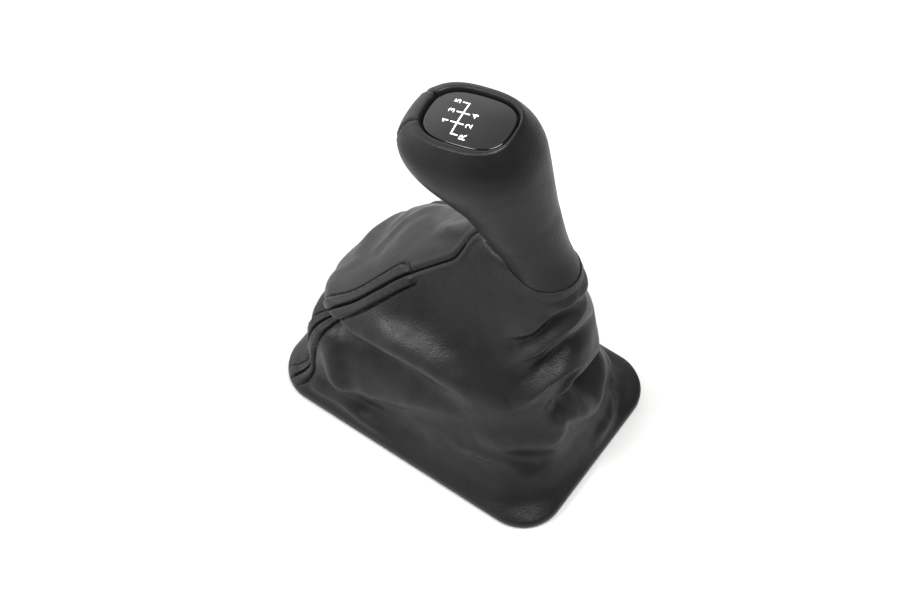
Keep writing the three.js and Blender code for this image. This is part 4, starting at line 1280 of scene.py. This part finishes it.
@dataclass
class Gaiter:
    """The sewn leather gaiter: a front panel, a panel round the rest, and their stitching."""

    knob: Knob
    # Base and hem
    length: float = 145.0
    width: float = 100.0
    corner: float = 19.0
    wall_top: float = 5.0
    hem_width: float = 8.0
    hem_height: float = 0.9
    hem_bend: float = 1.5
    leather: float = 1.0
    clearance: float = 0.3
    skived: float = 0.2
    # Mouth, and the collar that the tie holds
    roll: float = 0.2
    mouth_gap: float = 0.03
    mouth_depth: float = 76.8
    mouth_tilt: float = 6.0
    mouth_front_rise: float = 7.0
    hem_step: float = 2.0
    collar_radius: float = 9.3
    collar_length: float = 9.0
    # Corner seams and their flaps
    seam_turn: float = 42.0
    seam_drift: float = 36.0
    drift_from: float = 6.15
    drift_to: float = 7.6
    flap_width: float = 5.4
    flap_round: float = 3.4
    flap_to: float = 5.2
    flap_puff: float = 1.4
    flap_start: float = 6.0
    flap_slope: float = 0.8
    flap_foot: float = 0.5
    stitch_sink: float = 0.8
    stitch_sink_width: float = 0.5
    stitch_beat: float = 0.4
    welt: float = 0.5
    welt_place: float = 2.2
    welt_width: float = 1.4
    seam_depth: float = 0.9
    seam_width: float = 0.4
    # Stitching
    stitch_pitch: float = 4.0
    stitch_length: float = 2.9
    stitch_rings: int = 7
    stitch_bow: float = 0.6
    stitch_hole: float = 0.7
    stitch_low_rows: int = 6
    stitch_high_rows: int = 3
    tack_start: float = 0.3
    tack_rings: int = 9
    thread: float = 0.55
    thread_end: float = 0.55
    # Folds, ripples and crumpling
    fold_fade: float = 0.6
    full_fold: float = 3.0
    ripple: float = 0.45
    ripple_size: float = 16.0
    fine_ripple: float = 0.4
    fine_ripple_share: float = 2.3
    crumple: float = 0.35
    crumple_size: float = 6.5
    crumple_full: float = 2.0
    # Grid of a panel
    level_rows: int = 150
    seam_columns: int = 26
    seam_span: float = 9.0
    front_stretches: tuple[tuple[float, int], ...] = ((1.0, 96),)
    wrap_stretches: tuple[tuple[float, int], ...] = ((0.62, 220), (1.0, 80))
    skive_from: int = 19
    skive_to: int = 16
    # Outlines that the leather runs through, from the base up
    skirt_corner: float = 17.0
    shoulder_corner: float = 11.0
    skirt: tuple[SkirtLevel, ...] = (
        SkirtLevel(4.5, 6.0, 4.5, 15.0, 13.0, 0.0, 0.0, 0.3),
        SkirtLevel(9.5, 7.5, 9.5, 35.0, 28.0, -0.5, 0.0, 0.4),
        SkirtLevel(12.5, 13.0, 12.5, 56.0, 45.0, 0.0, 0.1, 0.5),
        SkirtLevel(15.5, 27.0, 14.0, 73.0, 62.0, 0.5, 0.2, 0.5),
    )
    shoulder: tuple[ShoulderLevel, ...] = (
        ShoulderLevel(12.0, 50.0, 6.5, 27.0, 41.0, 0.35, 0.6),
        ShoulderLevel(5.2, 32.0, 3.6, 8.0, 26.0, 0.55, 0.7),
        ShoulderLevel(1.0, 18.0, 1.2, -6.8, 13.5, 0.8, 0.9),
    )
    folds: tuple[Fold, ...] = LEFT_SIDE_FOLDS + REAR_FOLDS + RIGHT_SIDE_FOLDS + FRONT_FOLDS
    mouth_turns: np.ndarray = field(init=False, repr=False)
    mouth_reach: np.ndarray = field(init=False, repr=False)
    sections: list[Section] = field(init=False, repr=False)
    top: int = field(init=False)
    leather_finish: bpy.types.Material = field(init=False, repr=False)
    back_finish: bpy.types.Material = field(init=False, repr=False)
    thread_finish: bpy.types.Material = field(init=False, repr=False)

    def __post_init__(self) -> None:
        """Works out the sections and the size of the mouth."""
        mouth_radius = STAND.neck_radius + self.mouth_gap + 2 * self.roll
        self.mouth_turns = np.arange(0.0, 361.0, 3.0)
        self.mouth_reach = self.knob.neck_reach(self.mouth_turns, self.mouth_at(self.mouth_turns))
        centre = STAND.to_part(STAND.neck_centre(STAND.neck_end - self.mouth_tilt))
        half_width, half_length = self.width / 2, self.length / 2
        self.sections = [
            Section(half_width - level.side, half_length - level.front, half_length - level.rear,
                    level.front_height, level.rear_height, level.front_round, level.rear_round,
                    self.skirt_corner, level.right)
            for level in self.skirt
        ] + [
            Section(mouth_radius + level.side, mouth_radius + level.front,
                    mouth_radius + level.rear, centre[2] - level.front_drop,
                    centre[2] - level.rear_drop, level.front_round, level.rear_round,
                    self.shoulder_corner, centre[0], centre[1])
            for level in self.shoulder
        ]
        self.top = len(self.sections) + 1

    def base(self, turn: np.ndarray, inset: float, height: float) -> np.ndarray:
        """Outline of the base.

        Args:
            turn: Degrees round the gaiter.
            inset: How far in from the base's edge the outline runs.
            height: Its height over the ground.

        Returns:
            The points of the outline.
        """
        ring = rectangle_points(turn, self.length / 2 - inset, self.width / 2 - inset,
                                self.corner - inset)
        ring[..., 2] = height
        return ring

    def section_ring(self, turn: np.ndarray, section: Section) -> np.ndarray:
        """Points of one section, between a rounded rectangle and an oval.

        Args:
            turn: Degrees round the gaiter.
            section: Section to follow.

        Returns:
            The points of the section.
        """
        half_length = (section.front + section.rear) / 2
        angle = np.radians(turn)
        square = rectangle_points(turn, half_length, section.side, section.corner)
        oval = stack(section.side * np.cos(angle), half_length * np.sin(angle), 0.0)
        forward = smooth_step(np.sin(angle), -1.0, 1.0)
        rounding = section.rear_round + (section.front_round - section.rear_round) * forward
        ring = square + rounding[..., None] * (oval - square)
        ahead = (ring[..., 1] / half_length + 1) / 2
        ring[..., 2] = section.rear_height + (section.front_height - section.rear_height) * ahead
        ring[..., 0] += section.right
        ring[..., 1] += (section.front - section.rear) / 2 + section.forward
        return ring

    def mouth_at(self, turn: np.ndarray) -> np.ndarray:
        """Depth of the tilted mouth.

        Args:
            turn: Degrees round the gaiter.

        Returns:
            The depth under the cap's edge at each turn.
        """
        forward = np.sin(np.radians(turn))
        rise = self.mouth_tilt * forward + self.mouth_front_rise * smooth_step(forward, -0.2, 1.0)
        return self.mouth_depth - rise

    def mouth(self, turn: np.ndarray, sink: float, gap: float) -> np.ndarray:
        """Tilted ring round the neck.

        Args:
            turn: Angles round the neck.
            sink: How far the ring lies below the mouth's top.
            gap: Its distance from the neck's leather.

        Returns:
            Points of turn's shape.
        """
        reach = np.interp(np.mod(turn, 360.0), self.mouth_turns, self.mouth_reach)
        return STAND.to_part(STAND.neck_ring(turn, self.mouth_at(turn) + sink, reach + gap))

    def smooth(self, turn: np.ndarray, level: np.ndarray) -> np.ndarray:
        """The gaiter's outer face before its folds.

        Args:
            turn: Degrees round the gaiter.
            level: Level of each point, from 0 at the base to the last at the mouth.

        Returns:
            The points of the face.
        """
        rings = [
            self.base(turn, 0.0, self.wall_top),
            *(self.section_ring(turn, section) for section in self.sections),
            self.mouth(turn, self.roll, self.mouth_gap + 2 * self.roll),
        ]
        return along_spline(rings, level)

    def seam_turns(self, seam: Seam, levels: np.ndarray) -> np.ndarray:
        """Turns of a seam; the left seam mirrors the right one.

        Args:
            seam: Seam to follow.
            levels: Levels on the gaiter.

        Returns:
            Degrees round the gaiter at each level.
        """
        drift = self.seam_drift * smooth_step(levels, self.drift_from, self.drift_to)
        right = self.seam_turn + drift
        return {Seam.RIGHT: right, Seam.LEFT: 180.0 - right, Seam.RIGHT_AGAIN: 360.0 + right}[seam]

    def fold_offsets(self, points: np.ndarray, outward: np.ndarray) -> tuple[np.ndarray, np.ndarray]:
        """How far the folds move each point.

        Args:
            points: The smooth face.
            outward: Its outward directions.

        Returns:
            The offset of each point, and the height of the fold there.
        """
        flat, normals = points.reshape(-1, 3), outward.reshape(-1, 3)
        moved = np.zeros_like(flat)
        heights = np.zeros(len(flat))
        for fold in self.folds:
            stops = np.array(fold.stops)
            last_stop = len(stops) - 1
            steps = np.linspace(0, last_stop, FOLD_STEPS * last_stop + 1)
            fine = spline_weights(steps, len(stops)).T @ stops
            path = self.smooth(fine[:, 0], fine[:, 1])
            reach = FOLD_REACH * max(fold.above, fold.below)
            near = np.all((flat > path.min(0) - reach) & (flat < path.max(0) + reach), axis=1)
            here, normal = flat[near], normals[near]
            closest = np.full(len(here), np.inf)
            height = np.zeros(len(here))
            above = np.zeros(len(here))
            for start, end, first, last in zip(path[:-1], path[1:], fine[:-1, 2], fine[1:, 2]):
                run = end - start
                share = np.clip((here - start) @ run / (run @ run), 0.0, 1.0)
                away = here - start - share[:, None] * run
                distance = np.linalg.norm(away, axis=1)
                side = np.einsum("nk,nk->n", np.cross(unit(run), unit(away)), normal)
                closer = distance < closest
                closest[closer] = distance[closer]
                height[closer] = (first + (last - first) * share)[closer]
                above[closer] = side[closer]
            width = fold.below + (fold.above - fold.below) * smooth_step(above, -FOLD_SIDE, FOLD_SIDE)
            rise = height * np.exp(-(closest / width) ** fold.power)
            moved[near] += rise[:, None] * normal
            heights[near] += rise
        return moved.reshape(points.shape), heights.reshape(points.shape[:-1])

    def flap_rise(self, from_seam: np.ndarray, up_seam: np.ndarray, end: float) -> np.ndarray:
        """Height of the seam's stitched flap, its stitch line and the seam's groove.

        Args:
            from_seam: Distance from the seam across the leather.
            up_seam: Distance up the seam from the base.
            end: Where up the seam the flap ends.

        Returns:
            The rise at each point.
        """
        past_side = from_seam - (self.flap_width - self.flap_round)
        past_end = up_seam - (end - self.flap_round)
        rounded = self.flap_round - np.hypot(past_side, past_end)
        plain = np.minimum(self.flap_width - from_seam, end - up_seam)
        inside = np.where((past_side > 0) & (past_end > 0), rounded, plain)
        edge = np.clip(inside, 0.0, None)
        puffed = 1 - np.exp(-(edge / self.flap_slope) ** 2)
        puffed *= 1 - np.exp(-(from_seam / self.flap_foot) ** 2)
        pull = 1.0 + self.stitch_beat * np.cos(2 * math.pi * up_seam / self.stitch_pitch)
        stitched = self.stitch_sink * pull * np.exp(-(inside / self.stitch_sink_width) ** 2)
        groove = self.seam_depth * np.exp(-(from_seam / self.seam_width) ** 2)
        swell = np.exp(-((from_seam - self.welt_place) / self.welt_width) ** 2)
        beside = self.welt * swell * (inside < 0)
        start = smooth_step(up_seam, 0.0, self.flap_start)
        return start * (self.flap_puff * puffed - stitched + beside - groove)

    def panel_turns(self, start: np.ndarray, end: np.ndarray,
                    stretches: Sequence[tuple[float, int]]) -> np.ndarray:
        """Turns of a panel's columns on each row, close together beside the seams.

        Args:
            start: Turn of the panel's first edge on each row.
            end: Turn of its last edge on each row.
            stretches: Where each middle stretch ends, as a share of the way, and its columns.

        Returns:
            Turns of shape (rows, columns).
        """
        near = np.linspace(0.0, self.seam_span, self.seam_columns + 1)[:-1]
        shares = [0.0]
        for until, count in stretches:
            shares += list(np.linspace(shares[-1], until, count + 1)[1:])
        middle = np.array(shares)[None, :]
        low, high = start[:, None] + self.seam_span, end[:, None] - self.seam_span
        first = start[:, None] + near[None, :]
        last = end[:, None] - near[None, ::-1]
        return np.concatenate([first, low + (high - low) * middle, last], axis=1)

    def small_waves(self, face: np.ndarray, heights: np.ndarray) -> np.ndarray:
        """The leather's own ripples, and the crumpling of its folds.

        Args:
            face: Points of the face.
            heights: Height of the folds at each of them.

        Returns:
            The rise at each point.
        """
        rise = self.ripple * soft_noise(face, self.ripple_size, seed=7.3)
        finer = soft_noise(face, self.ripple_size / self.fine_ripple_share, seed=3.1)
        rise += self.fine_ripple * self.ripple * finer
        folded = np.clip(np.abs(heights) / self.crumple_full, 0.0, 1.0)
        return rise + self.crumple * folded * soft_noise(face, self.crumple_size, seed=5.9)

    def panel_grid(self, first: Seam, last: Seam,
                   stretches: Sequence[tuple[float, int]]) -> tuple[np.ndarray, np.ndarray]:
        """Outer face of a panel from its turned hem to the hem under the tie.

        Args:
            first: The seam at its first edge.
            last: The seam at its last edge.
            stretches: Column stretches, as panel_turns takes them.

        Returns:
            The grid of points, and the height of the folds there.
        """
        levels = np.linspace(0.0, self.top, self.level_rows + 1)
        turns = self.panel_turns(self.seam_turns(first, levels), self.seam_turns(last, levels),
                                 stretches)
        level = np.broadcast_to(levels[:, None], turns.shape)
        face = self.smooth(turns, level)
        outward = grid_normals(face)
        moved, heights = self.fold_offsets(face, outward)
        fade = np.minimum(1.0, np.minimum(level, self.top - level) / self.fold_fade)
        across, up = walked(face, 1), walked(face, 0)
        end_row = self.flap_to / self.top * self.level_rows
        rise = self.small_waves(face, heights) * fade
        for distance, column in ((across, 0), (across[:, -1:] - across, -1)):
            end = float(np.interp(end_row, np.arange(len(levels)), up[:, column]))
            up_seam = np.broadcast_to(up[:, column][:, None], up.shape)
            rise += self.flap_rise(distance, up_seam, end)
        face = face + fade[..., None] * moved + rise[..., None] * outward
        hem, mouth = self.hem_rows(turns[0]), self.mouth_rows(turns[-1])
        grid = odd_rows(np.concatenate([hem, face[1:], mouth]))
        heights = np.concatenate([np.zeros(hem.shape[:2]), (heights * fade)[1:],
                                  np.zeros(mouth.shape[:2])])
        part_edges(grid, self.clearance)
        return grid, odd_rows(heights)

    def hem_rows(self, turn: np.ndarray) -> np.ndarray:
        """Rows of the hem under the base and of its bend up into the wall.

        Args:
            turn: Degrees round the gaiter.

        Returns:
            The points, row by row from the hem's edge to the wall.
        """
        rows = [self.base(turn, inset, self.hem_height)
                for inset in np.linspace(self.hem_width, self.hem_bend, 5)[:-1]]
        for angle in np.radians(np.linspace(0.0, 90.0, 6)):
            rows.append(self.base(turn, self.hem_bend * (1 - math.sin(angle)),
                                  self.hem_height + self.hem_bend * (1 - math.cos(angle))))
        rows.append(self.base(turn, 0.0, (self.hem_height + self.hem_bend + self.wall_top) / 2))
        return np.stack(rows)

    def mouth_rows(self, turn: np.ndarray) -> np.ndarray:
        """Rows that roll in at the mouth and run down the neck to the tie.

        Args:
            turn: Degrees round the gaiter.

        Returns:
            The points, row by row from the mouth's edge to the hem under the tie.
        """
        face = STAND.neck_radius + self.clearance / 3
        tied = self.collar_radius + self.clearance
        rows = []
        for angle in np.radians(np.linspace(0.0, 180.0, 13)[1:]):
            rows.append(self.mouth(turn, self.roll * (1 - math.sin(angle)),
                                   self.mouth_gap + self.roll * (1 + math.cos(angle))))
        step = STAND.neck_end + 2 * self.clearance
        hem_end = STAND.neck_end + self.collar_length - self.hem_step / 2
        for depth, radius in ((step, face), (step + self.hem_step, tied), (hem_end, tied)):
            rows.append(STAND.to_part(STAND.neck_ring(turn, depth, radius)))
        return np.stack(rows)

    def build_panel(self, panel: Panel, grid: np.ndarray, heights: np.ndarray) -> None:
        """Args:
            panel: Its names and flat size.
            grid: Its outer face.
            heights: Height of the folds on that face, which the leather's finish reads.
        """
        skived_rows = [len(grid) - self.skive_from, len(grid) - self.skive_to]
        thickness = np.interp(np.arange(len(grid)), skived_rows, [self.leather, self.skived])
        piece = leather_sheet(panel.piece, grid, thickness)
        mark = piece.data.attributes.new("fold", "FLOAT", "POINT")
        values = np.zeros(len(piece.data.vertices), np.float32)
        values[:heights.size] = np.clip(heights.reshape(-1) / self.full_fold, 0.0, 1.0)
        mark.data.foreach_set("value", values)
        dress(piece, self.leather_finish, self.back_finish)
        settle(piece, panel.node)

    def flap_end_row(self) -> int:
        """Row of a panel's grid just past the flap's end."""
        return len(self.hem_rows(np.zeros(1))) + int(self.flap_to / self.top * self.level_rows)

    def stitch_line(self, grid: np.ndarray, first: bool) -> tuple[np.ndarray, np.ndarray]:
        """The stitch line beside one edge of a panel.

        Args:
            grid: The panel's outer face.
            first: True for the line beside its first column, False for its last.

        Returns:
            Points up the line, and the outward direction at each.
        """
        normals = grid_normals(grid)
        if not first:
            grid, normals = grid[:, ::-1], normals[:, ::-1]
        near = grid[:, :self.seam_columns * 2]
        distance = walked(near, 1)
        low = len(self.hem_rows(np.zeros(1))) + self.stitch_low_rows
        points, outward = [], []
        for i in range(low, self.flap_end_row() - self.stitch_high_rows):
            column = round(np.interp(self.flap_width, distance[i], np.arange(near.shape[1])))
            points.append(near[i, column])
            outward.append(normals[i, column])
        return np.array(points), np.array(outward)

    def thread_body(self, line: np.ndarray, outward: np.ndarray,
                    height: np.ndarray) -> tuple[np.ndarray, list[tuple[int, ...]]]:
        """One stitch of thread, thinner where it dips into its holes.

        Args:
            line: Points along the stitch on the leather.
            outward: Outward direction at each point.
            height: Height of the thread's middle over the leather at each point.

        Returns:
            Its vertices and faces.
        """
        middle = line + outward * height[:, None]
        along = unit(np.gradient(middle, axis=0))
        side = unit(np.cross(along, outward))
        bow = np.sin(np.linspace(0.0, math.pi, len(line)))
        angles = np.radians(np.arange(0.0, 360.0, 45.0))[:, None]
        rings = []
        for k in range(len(line)):
            radius = self.thread / 2 * (self.thread_end + (1 - self.thread_end) * bow[k])
            across = np.cos(angles) * side[k] + np.sin(angles) * np.cross(side[k], along[k])
            rings.append(middle[k] + radius * across)
        return ring_body(rings)

    def tack_body(self, grid: np.ndarray, first: bool) -> tuple[np.ndarray, list[tuple[int, ...]]]:
        """The tack that locks a row's end, one stitch laid from the row to the seam.

        Args:
            grid: The panel's outer face.
            first: True at the panel's first edge, False at its last.

        Returns:
            Its vertices and faces.
        """
        row = self.flap_end_row() - 1
        line, outward = grid[row], grid_normals(grid)[row]
        if not first:
            line, outward = line[::-1], outward[::-1]
        length = walked(line[None, :, :], 1)[0]
        stops = np.linspace(self.tack_start, self.flap_width, self.tack_rings)
        points, up = points_at(stops, length, line), unit(points_at(stops, length, outward))
        return self.thread_body(points, up, np.full(self.tack_rings, self.thread * self.stitch_hole))

    def build_stitching(self, name: str, grid: np.ndarray, first: bool, tacked: bool) -> None:
        """Makes one row of topstitching, each stitch a short bowed thread.

        Args:
            name: The node that it replaces.
            grid: Outer face of the panel that is stitched.
            first: True at the panel's first edge, False at its last.
            tacked: True where a tack locks the row's end.
        """
        line, outward = self.stitch_line(grid, first)
        length = walked(line[:, None, :], 0)[:, 0]
        share = np.linspace(0.0, 1.0, self.stitch_rings)
        height = self.thread * (self.stitch_bow * np.sin(math.pi * share) - self.stitch_hole)
        bodies = []
        for start in np.arange(0.0, length[-1] - self.stitch_length, self.stitch_pitch):
            stops = start + self.stitch_length * share
            points, up = points_at(stops, length, line), unit(points_at(stops, length, outward))
            bodies.append(self.thread_body(points, up, height))
        if tacked:
            bodies.append(self.tack_body(grid, first))
        points, faces = joined(bodies)
        piece = mesh_object(name + "_thread", points, faces, crease=70.0)
        dress(piece, self.thread_finish)
        settle(piece, name)

    def build(self) -> None:
        """Makes the two leather panels, then the four rows of stitching on them."""
        self.leather_finish, self.back_finish = GAITER_LEATHER.material(), FleshSide().material()
        front, front_heights = self.panel_grid(Seam.RIGHT, Seam.LEFT, self.front_stretches)
        wrap, wrap_heights = self.panel_grid(Seam.LEFT, Seam.RIGHT_AGAIN, self.wrap_stretches)
        self.build_panel(GAITER_FRONT, front, front_heights)
        self.build_panel(GAITER_WRAP, wrap, wrap_heights)
        self.thread_finish = THREAD.material()
        self.build_stitching("right_seam_front_stitching", front, True, True)
        self.build_stitching("left_seam_front_stitching", front, False, True)
        self.build_stitching("left_seam_side_stitching", wrap, True, False)
        self.build_stitching("right_seam_side_stitching", wrap, False, False)


# What carries them


@dataclass(frozen=True)
class Carriers:
    """The pieces under the leather that keep their own shape: frame, clips, staples and core."""

    def dress_all(self) -> None:
        """Gives each carried-over node the finish of its real material."""
        frame_pp, nylon, steel = FRAME_PP.material(), NYLON.material(), SPRING_STEEL.material()
        finishes = {"base_frame": frame_pp, "knob_core": frame_pp, "lever_bush": nylon,
                    "gaiter_tie": nylon}
        for name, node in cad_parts.items():
            finish = finishes.get(name)
            if name.startswith(("hem_staple", "frame_clip")):
                finish = steel
            if finish:
                dress(node, finish)
                log.info("%s: dressed", name)


# Studio


@dataclass(frozen=True)
class Softbox:
    """One square soft light: its place, aim and size in metres, and its power in watts."""

    name: str
    place: tuple[float, float, float]
    size: float
    power: float
    aim: tuple[float, float, float] = (0.0, 0.0, 0.08)

    def hang(self) -> None:
        """Adds the light to the scene."""
        data = bpy.data.lights.new(self.name, "AREA")
        data.shape = "SQUARE"
        data.size = self.size
        data.energy = self.power
        light = bpy.data.objects.new(self.name, data)
        bpy.context.scene.collection.objects.link(light)
        way = Vector(self.aim) - Vector(self.place)
        light.location = self.place
        light.rotation_euler = way.to_track_quat("-Z", "Y").to_euler()


@dataclass
class Studio:
    """A pale floor, a room whose front is bright, soft lights, and the camera at the left rear."""

    azimuth: float = -54.65
    elevation: float = 57.59
    distance: float = 826.31
    across: float = 1.8
    up: float = -33.95
    focal_pixels: float = 1800.0
    image_width: int = 920
    sensor: float = 36.0
    floor_half: float = 3000.0
    dim_wall: float = 0.2
    bright_wall: float = 3.6
    bright_way: tuple[float, float, float] = (0.15, 1.0, -0.3)
    softboxes: tuple[Softbox, ...] = (
        Softbox("top_light", (-0.1, -0.45, 1.6), 0.9, 46.0),
        Softbox("left_light", (-1.0, 0.6, 1.45), 0.45, 24.0),
    )

    def build_camera(self) -> None:
        """Sets the camera where the photograph was taken from."""
        a, e = math.radians(self.azimuth), math.radians(self.elevation)
        back = Vector((math.sin(a) * math.cos(e), -math.cos(a) * math.cos(e), math.sin(e)))
        right = Vector((math.cos(a), math.sin(a), 0.0))
        top = back.cross(right)
        place = (back * self.distance - right * self.across - top * self.up) * MM
        data = bpy.data.cameras.new("camera")
        data.sensor_width = self.sensor
        data.lens = self.focal_pixels / self.image_width * self.sensor
        data.clip_end = 50.0
        camera = bpy.data.objects.new("camera", data)
        bpy.context.scene.collection.objects.link(camera)
        rotation = Matrix((right, top, back)).transposed().to_4x4()
        camera.matrix_world = Matrix.Translation(place) @ rotation
        bpy.context.scene.camera = camera

    def build_floor(self) -> None:
        """Lays the pale floor."""
        half = self.floor_half
        corners = np.array([[-half, -half, 0], [half, -half, 0], [half, half, 0], [-half, half, 0]])
        floor = mesh_object("floor", corners.astype(float), [(0, 1, 2, 3)])
        dress(floor, FloorPaint().material())

    def build_light(self) -> None:
        """Hangs the soft lights and sets the even light of the room."""
        world = bpy.data.worlds.new("room")
        bpy.context.scene.world = world
        world.use_nodes = True
        tree = world.node_tree
        tree.nodes.clear()
        way = add_node(tree, "ShaderNodeTexCoord").outputs["Generated"]
        facing = add_node(tree, "ShaderNodeVectorMath", {
            "operation": "DOT_PRODUCT", 1: self.bright_way}, {0: way})
        wall = add_node(tree, "ShaderNodeMapRange", {
            "From Min": -0.1, "From Max": 0.9, "To Min": self.dim_wall, "To Max": self.bright_wall},
            {"Value": facing.outputs["Value"]})
        room = add_node(tree, "ShaderNodeBackground", {"Color": (1.0, 1.0, 1.0, 1.0)},
                        {"Strength": wall.outputs[0]})
        add_node(tree, "ShaderNodeOutputWorld", links={"Surface": room.outputs[0]})
        for softbox in self.softboxes:
            softbox.hang()
        bpy.context.scene.view_settings.view_transform = "Standard"


def plain(corners: tuple[Vector, Vector]) -> list[list[float]]:
    """The two corners of a box as plain lists of numbers."""
    return [[round(float(v), 6) for v in corner] for corner in corners]


def main() -> None:
    """Builds the studio, the gaiter, the knob and what carries them, in that order."""
    logging.basicConfig(level=logging.INFO, format="%(name)s %(message)s")
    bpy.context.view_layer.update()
    studio = Studio()
    studio.build_camera()
    studio.build_floor()
    studio.build_light()
    knob = Knob()
    Gaiter(knob).build()
    knob.build_leather()
    knob.build_cap()
    knob.build_print()
    Carriers().dress_all()


if __name__ == "__main__":
    main()
